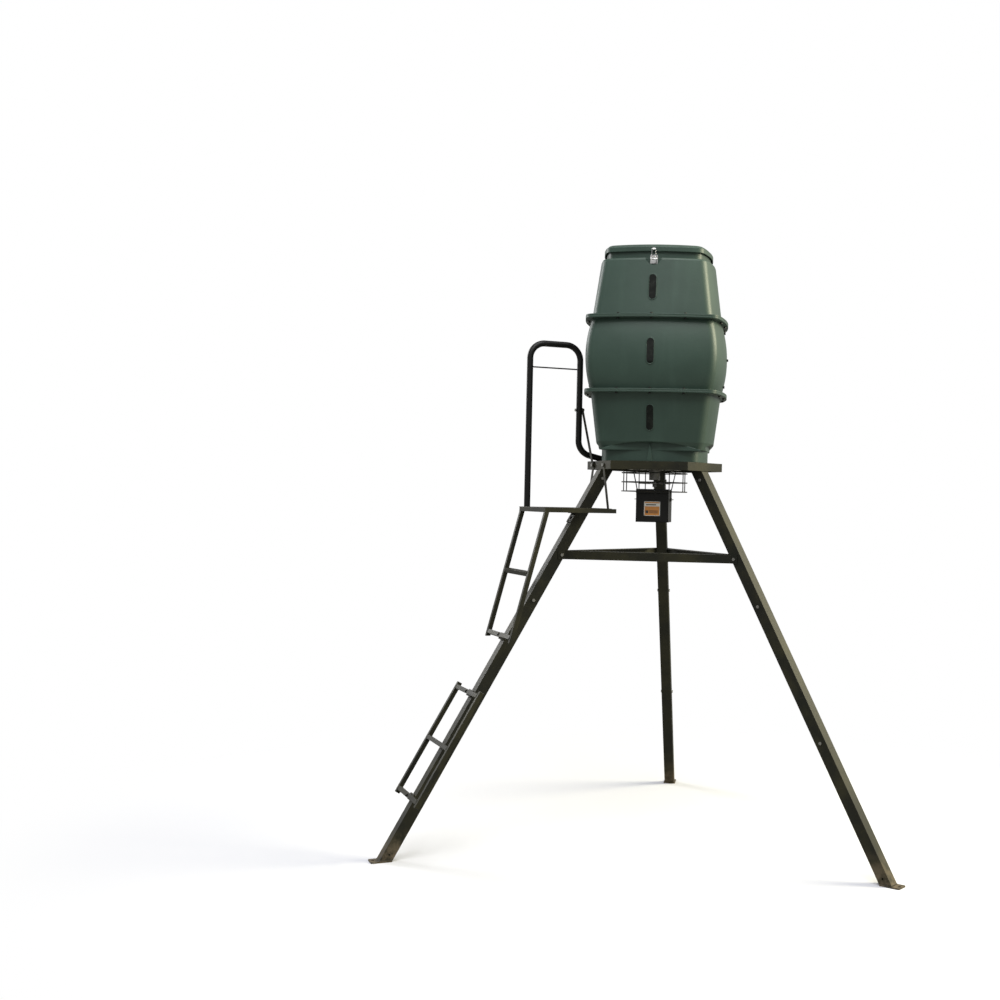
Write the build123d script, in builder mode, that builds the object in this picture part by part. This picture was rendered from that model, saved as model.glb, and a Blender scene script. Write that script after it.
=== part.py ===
from build123d import *

import os
from math import cos, radians, sin, tan

# Broadcast game feeder on a tripod. Millimetres, degrees, +Z up. The origin lies on the ground
# under the feeder's own axis; the hopper's front, with latch and sight windows, faces -Y.

# ---- Driving dimensions: tripod ----
FOOT_RADIUS = 1232.0         # stand axis to a leg's axis, at the ground
LEG_SLOPE = 60.0             # a leg above the ground
LEG_TUBE = 50.8              # square leg tube
LEG_WALL = 2.5
LEG_AZIMUTH = {"left": 210.0, "right": 330.0, "rear": 90.0}
LOWER_SEAM_HEIGHT = 521.0    # joint between the lower and the middle leg section
UPPER_SEAM_HEIGHT = 1080.0   # joint between the middle and the upper leg section
SOCKET_HEIGHT = 1632.0       # lower end of the sockets welded to the top frame
SPIGOT_LENGTH = 80.0         # reduced leg end inside the next tube
SPIGOT_GAP = 0.3
FOOT_PLATE_LENGTH = 92.0
FOOT_PLATE_WIDTH = 62.0
FOOT_PLATE_THICKNESS = 6.0
FOOT_PLATE_REACH = 61.0      # plate edge outside the leg's axis
STAKE_HOLE_RADIUS = 7.0
STAKE_HOLE_SETBACK = 14.0    # hole centre inside the plate's outer edge

BRACE_HEIGHT = 1312.0        # middle of the spreader braces
BRACE_ANGLE_LEG = 38.0       # angle iron, leg by leg
BRACE_WALL = 3.0
BRACE_TAB = 34.0             # bent end lying on the leg
BRACE_LEDGE_SETBACK = 70.0   # flange cut back from the bend

# ---- Driving dimensions: top frame ----
FRAME_TOP = 1741.0
FRAME_DEPTH = 38.0           # angle iron web
FRAME_LEDGE = 40.0           # angle iron flange that carries the hopper
FRAME_WALL = 3.0
LONG_BAR_APOTHEM = 262.0     # outer face of the bars between two legs
SHORT_BAR_APOTHEM = 281.0    # outer face of the bars across a leg

# ---- Driving dimensions: hopper ----
HOPPER_WALL = 5.0
HOPPER_BOW = 36.0            # how far a side bows out
HOPPER_CORNER = 46.0
SKIRT_HALF = 244.0
SKIRT_HEIGHT = 54.0
SKIRT_LIP_WIDTH = 30.0       # foot of the skirt, turned inwards
SKIRT_LIP = 6.0
SHOULDER_DROP = 33.0         # scooped step between skirt and tub
LOWER_TUB_BOTTOM_HALF = 270.0
LOWER_TUB_HEIGHT = 217.0
TUB_RIM_HALF = 298.0         # tubs and extension where they meet the flanges
FLANGE_HALF = 326.0
FLANGE_THICKNESS = 8.0       # each of the two flanges of a joint
EXTENSION_HEIGHT = 332.0     # both flanges included
EXTENSION_BULGE_HALF = 324.0
UPPER_TUB_HEIGHT = 257.0
SHOULDER_HALF = 264.0
SHOULDER_ROUND = 9.0
NECK_HALF = 240.0
NECK_GAP_HEIGHT = 30.0       # neck left open under the lid
NECK_INSERT = 18.0           # neck inside the lid
LID_HALF = 250.0
LID_SKIRT = 32.0
LID_WALL = 4.0
LID_EDGE = 12.0              # slope round the lid's top
LID_CROWN = 16.0
OUTLET_HALF = 25.0           # throat at the foot of the hopper's floor
OUTLET_BOSS_RADIUS = 62.0
OUTLET_BOSS_HEIGHT = 10.0
FLOOR_DEPTH = 116.0          # fall of the sloping floor

WINDOW_WIDTH = 31.0
WINDOW_HEIGHT = 112.0
WINDOW_FIT = 0.3
WINDOW_RIM = 3.5
WINDOW_RIM_PROUD = 2.4
WINDOW_PROUD = 1.2
RIB_WIDTH = 26.0
RIB_PROUD = 9.0

LAP_WIDTH = 30.0             # overlap of the two half shells of the extension
LAP_GAP = 0.3

# ---- Driving dimensions: lid latch and hinge ----
RECESS_RADIUS = 36.0
RECESS_RISE = 2.0            # centre of the recess above the shoulder
LATCH_PLATE = 2.0
LATCH_BASE_WIDTH = 34.0
LEVER_PIVOT_OUT = 6.0        # lever pin in front of the recess floor
LEVER_PIVOT_DROP = 5.0       # lever pin under the shoulder
LEVER_CRANK = 14.0           # lever pin to bail pin
LEVER_WIDTH = 24.0
LEVER_REACH = 15.0
BAIL_WIRE = 3.0
BAIL_SIDE_GAP = 0.4
CATCH_OUT = 14.0             # bail's crossbar in front of the recess floor
CATCH_HEIGHT = 39.6          # bail's crossbar above the shoulder
KEEPER_WIDTH = 11.0
KEEPER_LIP = 1.2
KEEPER_LIP_GAP = 0.9
HINGE_WIDTH = 90.0
HINGE_PIN_RADIUS = 3.0
HINGE_KNUCKLE_RADIUS = 5.5
HINGE_SETBACK = 11.0         # pin outside the lid's rear face
HINGE_PIN_HEIGHT = 40.0      # pin above the shoulder
HINGE_LEAF = 2.5
PIN_FIT = 0.08

# ---- Driving dimensions: spout, cage and feeder unit ----
SPOUT_RADIUS = 25.5
SPOUT_WALL = 2.0
SPOUT_LENGTH = 50.0
SPOUT_SCREW_SPREAD = 32.0
OUTLET_PLATE_LENGTH = 236.0
OUTLET_PLATE_WIDTH = 130.0
OUTLET_PLATE_THICKNESS = 3.0
CAGE_RADIUS = 152.0
CAGE_WIRE = 4.6
CAGE_WELD = 3.4              # uprights inside the rings' middle line
CAGE_RING_SPACING = 42.5
CAGE_ARM_WELD = 0.4
CAGE_RINGS = 4
CAGE_UPRIGHTS = 8
CAGE_ARM_WIDTH = 20.0
CAGE_ARM_THICKNESS = 3.0
BOX_WIDTH = 150.0
BOX_DEPTH = 170.0
BOX_HEIGHT = 152.0
BOX_TOP = 1618.0
BOX_WALL = 1.5
HOOD_REACH = 7.0
HOOD_DROP = 20.0
DOOR_GAP = 1.0
DOOR_RETURN = 9.0
DOOR_PIN_RADIUS = 2.0
DOOR_CURL = 2.0              # metal rolled around the door's pin
STRAP_WIDTH = 19.0
STRAP_THICKNESS = 3.0
STRAP_TOP_HALF = 98.0        # straps' spread at the outlet plate
STRAP_LAP = 56.0             # straps down the box's sides
WING_BOLT_DROP = 47.0        # wing bolts under the box's top
LABEL_WIDTH = 79.0
LABEL_HEIGHT = 70.0
LABEL_THICKNESS = 0.8
SPINNER_RADIUS = 76.0
SPINNER_GAP = 16.0           # spout's mouth to the spinner plate
SPINNER_THICKNESS = 1.6
FIN_HEIGHT = 10.0
SHAFT_RADIUS = 3.0
MOTOR_RADIUS = 18.5
MOTOR_LENGTH = 58.0
BATTERY = (98.0, 56.0, 70.0)
TIMER = (96.0, 26.0, 72.0)

# ---- Driving dimensions: platform, ladders, grab rail ----
BAR = 19.0                   # square tube of platform and ladders
PLATFORM_HEIGHT = 1514.0     # middle of the platform's tubes
PLATFORM_OUTER = 598.0       # outer edge, from the stand's axis
PLATFORM_HALF_WIDTH = 174.0
DECK_THICKNESS = 2.0
DECK_LEG_GAP = 4.0
MESH_LONG = 46.0
MESH_SHORT = 20.0
MESH_STRAND = 6.0
HANGER_TOP_SPREAD = 60.0     # hanger bolts on the frame, either side of the leg
HANGER_FOOT_SPREAD = 129.0
UPPER_LADDER_STEP = 279.0    # rung spacing under the platform
LADDER_STANDOFF = 12.0       # leg to rung
LOWER_LADDER_TOP = 710.0     # middle of its highest rung
LOWER_LADDER_STEP = 219.0
LADDER_RAIL_TAIL = 20.0
RAIL_RADIUS = 14.3           # grab rail tube
RAIL_WALL = 2.0
RAIL_OUTER = 565.0
RAIL_INNER = 319.0
RAIL_TOP = 2293.0
RAIL_BEND = 70.0
RAIL_FOOT_RISE = 26.0        # fall of the rail's last run
RAIL_LANDING = 202.0         # inner end, over the top frame
RAIL_ROD_HEIGHT = 2168.0
RAIL_ROD_RADIUS = 3.2
RAIL_STRAP_HEIGHT = 1981.0
RAIL_STRAP_GAP = 1.0          # lets the tilted strap clear what it is bolted to

# ---- Driving dimensions: fasteners ----
HOPPER_BOLTS = ((22.0, 236.0), (158.0, 236.0), (227.0, 272.0), (313.0, 272.0))   # azimuth, distance
SEAM_BOLT_RISE = 30.0        # leg bolts above a seam
BOLT_RADIUS = 4.0
BOLT_FIT = 0.2
BOLT_HEAD_FLATS = 13.0
BOLT_HEAD_HEIGHT = 5.5
NUT_HEIGHT = 6.5
FLANGE_BOLT_RADIUS = 3.0
FLANGE_BOLT_SPACING = 150.0
SEAM_BOLT_HEIGHTS = (-124.0, 0.0, 124.0)   # from the middle of the extension
SEAM_BOLT_LIFT = 1.6         # level bolts on the leaning wall

# ---- Worked-out dimensions ----
APEX_HEIGHT = FOOT_RADIUS * tan(radians(LEG_SLOPE))
SKIRT_TOP = FRAME_TOP + SKIRT_HEIGHT
LOWER_TUB_BOTTOM = SKIRT_TOP + SHOULDER_DROP
LOWER_TUB_TOP = LOWER_TUB_BOTTOM + LOWER_TUB_HEIGHT + FLANGE_THICKNESS
EXTENSION_TOP = LOWER_TUB_TOP + EXTENSION_HEIGHT
EXTENSION_MIDDLE = (LOWER_TUB_TOP + EXTENSION_TOP) / 2
SHOULDER_TOP = EXTENSION_TOP + FLANGE_THICKNESS + UPPER_TUB_HEIGHT
LID_BOTTOM = SHOULDER_TOP + NECK_GAP_HEIGHT
LID_TOP = LID_BOTTOM + LID_SKIRT
FLOOR_TOP = LOWER_TUB_BOTTOM + 8.0
FLOOR_FOOT = FLOOR_TOP - FLOOR_DEPTH
OUTLET_FACE = FLOOR_FOOT - OUTLET_BOSS_HEIGHT
PLATE_FACE = OUTLET_FACE - OUTLET_PLATE_THICKNESS
SPOUT_MOUTH = OUTLET_FACE - SPOUT_LENGTH
SPINNER_FACE = SPOUT_MOUTH - SPINNER_GAP
LADDER_LEG = LEG_AZIMUTH["left"]
PLATFORM_INNER = SHORT_BAR_APOTHEM
RAIL_SIDE = -(PLATFORM_HALF_WIDTH - BAR / 2)


# ---- Shared geometry ----
def leg_distance(height):
    """Distance from the stand's axis to a leg's axis at a height."""
    return FOOT_RADIUS * (1 - height / APEX_HEIGHT)


def leg_plane(azimuth, height, proud=0.0):
    """Plane across a leg: z runs up the leg, x anticlockwise; proud lies outside the leg's axis."""
    out = Vector(1, 0, 0).rotate(Axis.Z, azimuth)
    sideways = Vector(0, 1, 0).rotate(Axis.Z, azimuth)
    up_the_leg = Vector(0, 0, sin(radians(LEG_SLOPE))) - out * cos(radians(LEG_SLOPE))
    origin = out * leg_distance(height) + Vector(0, 0, height)
    return Plane(origin=origin - sideways.cross(-up_the_leg) * proud, x_dir=sideways, z_dir=up_the_leg)


def radial_plane(azimuth, across=0.0):
    """Upright plane through the stand's axis: x runs outwards, y runs up; across is anticlockwise."""
    out = Vector(1, 0, 0).rotate(Axis.Z, azimuth)
    sideways = Vector(0, 1, 0).rotate(Axis.Z, azimuth)
    return Plane(origin=sideways * across, x_dir=out, z_dir=-sideways)


def facing_plane(azimuth, distance, height=0.0, across=0.0):
    """Upright plane that faces outwards at a distance from the axis: x anticlockwise, y up."""
    out = Vector(1, 0, 0).rotate(Axis.Z, azimuth)
    sideways = Vector(0, 1, 0).rotate(Axis.Z, azimuth)
    origin = out * distance + sideways * across + Vector(0, 0, height)
    return Plane(origin=origin, x_dir=sideways, z_dir=out)


def rising(azimuth, distance, height, across=0.0):
    """Level plane at a place around the stand's axis, facing up, x outwards."""
    out = Vector(1, 0, 0).rotate(Axis.Z, azimuth)
    sideways = Vector(0, 1, 0).rotate(Axis.Z, azimuth)
    return Plane(origin=out * distance + sideways * across + Vector(0, 0, height), x_dir=out, z_dir=(0, 0, 1))


def hopper_section(height, half, bow=HOPPER_BOW, corner=HOPPER_CORNER):
    """Square outline with bowed sides; half runs from the axis to the middle of a side."""
    tip = half - bow
    with BuildSketch(Plane.XY.offset(height)) as outline:
        with BuildLine():
            for side in range(4):
                start = Vector(-tip, -tip).rotate(Axis.Z, 90 * side)
                crown = Vector(0, -half).rotate(Axis.Z, 90 * side)
                end = Vector(tip, -tip).rotate(Axis.Z, 90 * side)
                ThreePointArc(start, crown, end)
        make_face()
        fillet(outline.vertices(), corner)
    return outline.sketch


def upper_tub_levels(offset):
    """Heights and half sizes of the upper tub's tapering wall."""
    wall_top = SHOULDER_TOP - SHOULDER_ROUND
    return ((EXTENSION_TOP, TUB_RIM_HALF + offset), (wall_top, SHOULDER_HALF + offset))


def extension_levels(offset):
    """Heights and half sizes of the bulging extension."""
    return (
        (LOWER_TUB_TOP, TUB_RIM_HALF + offset),
        (EXTENSION_MIDDLE, EXTENSION_BULGE_HALF + offset),
        (EXTENSION_TOP, TUB_RIM_HALF + offset),
    )


def lower_tub_levels(offset):
    """Heights and half sizes of the lower tub's tapering wall."""
    return ((LOWER_TUB_BOTTOM, LOWER_TUB_BOTTOM_HALF + offset), (LOWER_TUB_TOP, TUB_RIM_HALF + offset))


def sections(levels):
    """Hopper outlines at the given heights and half sizes, ready to loft."""
    return [hopper_section(height, half) for height, half in levels]


def wall_patch(levels, outside, inside, width, height, middle):
    """Slot-shaped piece of the hopper's front wall, from inside to outside its outer face."""
    with BuildPart() as patch:
        loft(sections(levels(outside)))
        loft(sections(levels(-inside)), mode=Mode.SUBTRACT)
        with BuildSketch(Plane.XZ.offset(FLANGE_HALF)) as slot:
            with Locations((0, middle)):
                SlotOverall(height, width, rotation=90)
        extrude(slot.sketch, amount=-FLANGE_HALF, mode=Mode.INTERSECT)
    return patch.part


def flange_bolt_places(height):
    """Bolt places round a flange, on the line midway between the wall and the flange's edge."""
    line = (TUB_RIM_HALF + FLANGE_HALF) / 2
    places = []
    for side in range(4):
        for step in (-1, 0, 1):
            along = step * FLANGE_BOLT_SPACING
            inward = HOPPER_BOW * (along / (line - HOPPER_BOW)) ** 2
            spot = Vector(along, -(line - inward), height).rotate(Axis.Z, 90 * side)
            places.append(Plane(origin=spot, z_dir=(0, 0, 1)))
    return places


def hexagon(place, flats, height):
    """Six-sided prism standing on a plane, added to the piece being built."""
    with BuildSketch(place) as outline:
        RegularPolygon(flats / 2, 6, major_radius=False)
    extrude(outline.sketch, amount=height)


def bolt(place, grip, radius=BOLT_RADIUS, flats=BOLT_HEAD_FLATS):
    """Bolt with its head on a plane and its nut under the grip, added to the piece being built."""
    hexagon(place, flats, BOLT_HEAD_HEIGHT)
    with Locations(place):
        Cylinder(radius, grip + NUT_HEIGHT, align=(Align.CENTER, Align.CENTER, Align.MAX))
    hexagon(place.offset(-grip - NUT_HEIGHT), flats, NUT_HEIGHT)


def bolt_hole(place, depth, radius=BOLT_RADIUS):
    """Clearance hole for a bolt, cut down from a plane into the piece being built."""
    with Locations(place):
        Cylinder(radius + BOLT_FIT, 2 * depth, mode=Mode.SUBTRACT)


def save(piece, name):
    """Label a finished piece and write it to its own file."""
    piece.part.label = name
    export_step(piece.part, f"parts/{name}.step")


os.makedirs("parts", exist_ok=True)


# ---- Tripod ----
SPIGOT_TUBE = LEG_TUBE - 2 * LEG_WALL - 2 * SPIGOT_GAP
SPIGOT_COLLAR = 10.0         # solid ring that ties a spigot to its tube
LEG_SECTIONS = (
    ("lower", 0.0, LOWER_SEAM_HEIGHT),
    ("middle", LOWER_SEAM_HEIGHT, UPPER_SEAM_HEIGHT),
    ("upper", UPPER_SEAM_HEIGHT, SOCKET_HEIGHT),
)
BOLT_SIDE = {"left": 1, "right": -1, "rear": 1}     # side face that carries the bolt heads
LADDER_PROUD = LEG_TUBE / 2 + LADDER_STANDOFF + BAR / 2
UPPER_LADDER_FOOT = PLATFORM_HEIGHT - 2 * UPPER_LADDER_STEP
LOWER_LADDER_RUNGS = [LOWER_LADDER_TOP - step * LOWER_LADDER_STEP for step in range(3)]
BRACKET_RUNGS = (UPPER_LADDER_FOOT, LOWER_LADDER_RUNGS[0], LOWER_LADDER_RUNGS[-1])
SHELF_THICKNESS = 4.0
SHELF_LENGTH = 46.0
SHELF_WIDTH = 60.0


def leg_face_bolt(side, seam):
    """Plane on a leg's side face where a seam's bolt head sits."""
    azimuth = LEG_AZIMUTH[side]
    sideways = Vector(0, 1, 0).rotate(Axis.Z, azimuth) * BOLT_SIDE[side]
    height = seam + SEAM_BOLT_RISE
    out = Vector(1, 0, 0).rotate(Axis.Z, azimuth)
    origin = out * leg_distance(height) + Vector(0, 0, height) + sideways * LEG_TUBE / 2
    return Plane(origin=origin, z_dir=sideways)


def rung_height_on_leg(height, proud=LADDER_PROUD):
    """Height on the leg's axis that is square across from a point outside it."""
    return height - proud * cos(radians(LEG_SLOPE))


def ladder_bolt(height):
    """Plane on a rung's outer face, where its bolt head sits."""
    rung = leg_plane(LADDER_LEG, rung_height_on_leg(height), LADDER_PROUD)
    return Plane(origin=rung.origin - rung.y_dir * BAR / 2, x_dir=rung.x_dir, z_dir=-rung.y_dir)


def shelf_bolt():
    """Plane on the platform shelf's back plate, where its bolt head sits."""
    proud = LEG_TUBE / 2 + SHELF_THICKNESS
    height = PLATFORM_HEIGHT - BAR / 2 - SHELF_LENGTH / 2
    face = leg_plane(LADDER_LEG, rung_height_on_leg(height, proud), proud)
    return Plane(origin=face.origin, x_dir=face.x_dir, z_dir=-face.y_dir)


def brace_bend():
    """Bend of a brace beside its leg, in plan: outwards and sideways from the brace's middle line."""
    out = Vector(1, 0, 0).rotate(Axis.Z, 60)
    face = Vector(0, -1, 0).rotate(Axis.Z, 60)
    inner_edge = LEG_TUBE / 2 / sin(radians(LEG_SLOPE))
    return out * (leg_distance(BRACE_HEIGHT) - inner_edge) + face * LEG_TUBE / 2


def brace_bolt(azimuth, hand):
    """Plane on a brace's bent end, where its bolt head sits; hand is 1 or -1."""
    bend = brace_bend()
    out = Vector(1, 0, 0).rotate(Axis.Z, 60)
    face = Vector(0, -1, 0).rotate(Axis.Z, 60)
    spot = bend + out * BRACE_TAB / 2 + face * BRACE_WALL
    spot = Vector(spot.X, spot.Y * hand, BRACE_HEIGHT).rotate(Axis.Z, azimuth)
    return Plane(origin=spot, z_dir=Vector(face.X, face.Y * hand, 0).rotate(Axis.Z, azimuth))


BRACES = {"front": 270.0, "right": 30.0, "left": 150.0}
BRACE_GRIP = BRACE_WALL + LEG_WALL
RUNG_GRIP = BAR + LADDER_STANDOFF + LEG_WALL
SHELF_GRIP = SHELF_THICKNESS + LEG_WALL


def bolts_into_leg(side):
    """Bolts that enter a leg's wall, besides those of its seams: head plane and grip."""
    azimuth = LEG_AZIMUTH[side]
    places = [(brace_bolt(azimuth - 60 * hand, hand), BRACE_GRIP) for hand in (-1, 1)]
    if azimuth == LADDER_LEG:
        places += [(ladder_bolt(height), RUNG_GRIP) for height in BRACKET_RUNGS]
        places.append((shelf_bolt(), SHELF_GRIP))
    return places


for side, azimuth in LEG_AZIMUTH.items():
    for level, bottom, top in LEG_SECTIONS:
        buried = 40.0 if level == "lower" else 0.0
        length = (top - bottom + buried) / sin(radians(LEG_SLOPE))
        with BuildPart() as leg_section:
            with BuildSketch(leg_plane(azimuth, bottom - buried)):
                Rectangle(LEG_TUBE, LEG_TUBE)
                offset(amount=-LEG_WALL, mode=Mode.SUBTRACT)
            extrude(amount=length)
            with BuildSketch(leg_plane(azimuth, top)):
                Rectangle(LEG_TUBE - 2 * LEG_WALL, LEG_TUBE - 2 * LEG_WALL)
                Rectangle(SPIGOT_TUBE - 2 * LEG_WALL, SPIGOT_TUBE - 2 * LEG_WALL, mode=Mode.SUBTRACT)
            extrude(amount=-SPIGOT_COLLAR)
            with BuildSketch(leg_plane(azimuth, top)):
                Rectangle(SPIGOT_TUBE, SPIGOT_TUBE)
                offset(amount=-LEG_WALL, mode=Mode.SUBTRACT)
            extrude(amount=SPIGOT_LENGTH)
            for seam in (bottom, top):
                bolt_hole(leg_face_bolt(side, seam), LEG_TUBE + 1)
            for place, grip in bolts_into_leg(side):
                bolt_hole(place, grip + 1)
            if level == "lower":
                split(bisect_by=Plane.XY.offset(FOOT_PLATE_THICKNESS), keep=Keep.TOP)
                with BuildSketch(rising(azimuth, FOOT_RADIUS, 0)):
                    with Locations((FOOT_PLATE_REACH - FOOT_PLATE_LENGTH / 2, 0)):
                        RectangleRounded(FOOT_PLATE_LENGTH, FOOT_PLATE_WIDTH, 5)
                    with Locations((FOOT_PLATE_REACH - STAKE_HOLE_SETBACK, 0)):
                        Circle(STAKE_HOLE_RADIUS, mode=Mode.SUBTRACT)
                extrude(amount=FOOT_PLATE_THICKNESS)
        save(leg_section, f"leg_{side}_{level}")

with BuildPart() as leg_bolts:
    for side in LEG_AZIMUTH:
        for seam in (LOWER_SEAM_HEIGHT, UPPER_SEAM_HEIGHT, SOCKET_HEIGHT):
            bolt(leg_face_bolt(side, seam), LEG_TUBE)
save(leg_bolts, "leg_bolts")

for name, azimuth in BRACES.items():
    bend = brace_bend()
    tab_end = bend + Vector(1, 0, 0).rotate(Axis.Z, 60) * BRACE_TAB
    with BuildPart() as brace:
        with BuildSketch(rising(azimuth, 0, BRACE_HEIGHT - BRACE_ANGLE_LEG / 2)):
            with BuildLine():
                Polyline((tab_end.X, tab_end.Y), (bend.X, bend.Y), (bend.X, -bend.Y), (tab_end.X, -tab_end.Y))
                offset(amount=BRACE_WALL, side=Side.LEFT, kind=Kind.INTERSECTION)
            make_face()
        extrude(amount=BRACE_ANGLE_LEG)
        with BuildSketch(rising(azimuth, 0, BRACE_HEIGHT + BRACE_ANGLE_LEG / 2)):
            with Locations((bend.X - BRACE_ANGLE_LEG / 2, 0)):
                Rectangle(BRACE_ANGLE_LEG, 2 * (bend.Y - BRACE_LEDGE_SETBACK))
        extrude(amount=-BRACE_WALL)
        for hand in (-1, 1):
            bolt_hole(brace_bolt(azimuth, hand), BRACE_GRIP)
    save(brace, f"brace_{name}")

with BuildPart() as brace_bolts:
    for azimuth in BRACES.values():
        for hand in (-1, 1):
            bolt(brace_bolt(azimuth, hand), BRACE_GRIP)
save(brace_bolts, "brace_bolts")


# ---- Top frame: six welded angle irons with a socket for each leg ----
def frame_outline(inset):
    """Hexagon of the frame in plan; long sides lie between the legs, short sides across them."""
    with BuildSketch() as outline:
        RegularPolygon(2 * (LONG_BAR_APOTHEM - inset), 3, rotation=90)
        RegularPolygon(2 * (SHORT_BAR_APOTHEM - inset), 3, rotation=30, mode=Mode.INTERSECT)
    return outline.sketch


def hanger_bolt(hand):
    """Plane outside the frame's bar over the ladder leg, where a hanger's bolt sits."""
    return facing_plane(
        LADDER_LEG, SHORT_BAR_APOTHEM + STRAP_THICKNESS, FRAME_TOP - FRAME_DEPTH / 2, hand * HANGER_TOP_SPREAD
    )


def cage_arm_bolt(azimuth):
    """Plane on the frame's ledge where a cage arm is bolted."""
    return rising(azimuth, LONG_BAR_APOTHEM - FRAME_LEDGE + 9, FRAME_TOP)


CAGE_ARMS = tuple(BRACES.values())
HANGER_GRIP = STRAP_THICKNESS + FRAME_WALL

with BuildPart() as top_frame:
    with BuildSketch(Plane.XY.offset(FRAME_TOP - FRAME_DEPTH)):
        add(frame_outline(0))
        add(frame_outline(FRAME_WALL), mode=Mode.SUBTRACT)
    extrude(amount=FRAME_DEPTH)
    with BuildSketch(Plane.XY.offset(FRAME_TOP - FRAME_WALL)):
        add(frame_outline(0))
        add(frame_outline(FRAME_LEDGE), mode=Mode.SUBTRACT)
    extrude(amount=FRAME_WALL)
    for side, azimuth in LEG_AZIMUTH.items():
        with BuildPart(mode=Mode.PRIVATE) as socket:
            with BuildSketch(leg_plane(azimuth, SOCKET_HEIGHT)):
                Rectangle(LEG_TUBE, LEG_TUBE)
                offset(amount=-LEG_WALL, mode=Mode.SUBTRACT)
            extrude(amount=(FRAME_TOP - SOCKET_HEIGHT + 30) / sin(radians(LEG_SLOPE)))
            split(bisect_by=Plane.XY.offset(FRAME_TOP - FRAME_WALL), keep=Keep.BOTTOM)
        add(socket.part)
        bolt_hole(leg_face_bolt(side, SOCKET_HEIGHT), LEG_TUBE + 1)
    for bolt_azimuth, distance in HOPPER_BOLTS:
        bolt_hole(rising(bolt_azimuth, distance, FRAME_TOP), SKIRT_LIP)
    for hand in (-1, 1):
        bolt_hole(hanger_bolt(hand), HANGER_GRIP + 1)
    for azimuth in CAGE_ARMS:
        bolt_hole(cage_arm_bolt(azimuth), FRAME_WALL + CAGE_ARM_THICKNESS, FLANGE_BOLT_RADIUS)
save(top_frame, "top_frame")

with BuildPart() as hopper_bolts:
    for azimuth, distance in HOPPER_BOLTS:
        bolt(rising(azimuth, distance, FRAME_TOP + SKIRT_LIP), SKIRT_LIP + FRAME_WALL)
save(hopper_bolts, "hopper_bolts")

# ---- Platform with its hangers ----
UPRIGHT_FOOT = (RAIL_OUTER, RAIL_SIDE)
DECK_LEG_HALF = (
    LEG_TUBE / 2 / sin(radians(LEG_SLOPE)) + BAR / tan(radians(LEG_SLOPE)) / 2 + DECK_LEG_GAP,
    LEG_TUBE / 2 + DECK_LEG_GAP,
)
LEG_AT_PLATFORM = leg_distance(PLATFORM_HEIGHT + BAR / 2)
CROSS_BAR = leg_distance(PLATFORM_HEIGHT - BAR / 2) + LEG_TUBE / 2 / sin(radians(LEG_SLOPE)) + BAR / 2
DECK_TOP = PLATFORM_HEIGHT + BAR / 2 + DECK_THICKNESS
HANGER_FOOT_HEIGHT = PLATFORM_HEIGHT
DECK_INNER = PLATFORM_INNER + STRAP_THICKNESS + 1.0   # clear of the hangers
MESH_PITCH = (MESH_SHORT + MESH_STRAND, MESH_LONG + MESH_STRAND)


def hanger_foot(hand):
    """Plane outside the platform's inner bar where a hanger's lower bolt sits."""
    return facing_plane(
        LADDER_LEG, PLATFORM_INNER + STRAP_THICKNESS, HANGER_FOOT_HEIGHT, hand * HANGER_FOOT_SPREAD
    )


with BuildPart() as platform_frame:
    with BuildSketch(rising(LADDER_LEG, 0, PLATFORM_HEIGHT - BAR / 2)):
        with Locations(((PLATFORM_INNER - BAR + PLATFORM_OUTER) / 2, 0)):
            Rectangle(PLATFORM_OUTER - PLATFORM_INNER + BAR, 2 * PLATFORM_HALF_WIDTH)
            offset(amount=-BAR, kind=Kind.INTERSECTION, mode=Mode.SUBTRACT)
        with Locations((CROSS_BAR + 0.3, 0)):
            Rectangle(BAR, 2 * (PLATFORM_HALF_WIDTH - BAR))
    extrude(amount=BAR)
    for hand in (-1, 1):
        bolt_hole(hanger_foot(hand), BAR + STRAP_THICKNESS + 1)
save(platform_frame, "platform_frame")

with BuildPart() as platform_deck:
    with BuildSketch(rising(LADDER_LEG, 0, DECK_TOP - DECK_THICKNESS)):
        with Locations(((DECK_INNER + PLATFORM_OUTER) / 2, 0)):
            Rectangle(PLATFORM_OUTER - DECK_INNER, 2 * PLATFORM_HALF_WIDTH)
            with GridLocations(*MESH_PITCH, 12, 6):
                Polygon((-MESH_SHORT / 2, 0), (0, -MESH_LONG / 2), (MESH_SHORT / 2, 0), (0, MESH_LONG / 2),
                        mode=Mode.SUBTRACT)
            with GridLocations(*MESH_PITCH, 11, 5):
                Polygon((-MESH_SHORT / 2, 0), (0, -MESH_LONG / 2), (MESH_SHORT / 2, 0), (0, MESH_LONG / 2),
                        mode=Mode.SUBTRACT)
        with Locations((LEG_AT_PLATFORM, 0)):
            Rectangle(2 * DECK_LEG_HALF[0] + 2 * MESH_STRAND, 2 * DECK_LEG_HALF[1] + 2 * MESH_STRAND)
            Rectangle(2 * DECK_LEG_HALF[0], 2 * DECK_LEG_HALF[1], mode=Mode.SUBTRACT)
        with Locations(UPRIGHT_FOOT):
            Circle(RAIL_RADIUS + DECK_LEG_GAP + MESH_STRAND)
            Circle(RAIL_RADIUS + DECK_LEG_GAP / 2, mode=Mode.SUBTRACT)
    extrude(amount=DECK_THICKNESS)
save(platform_deck, "platform_deck")

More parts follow.
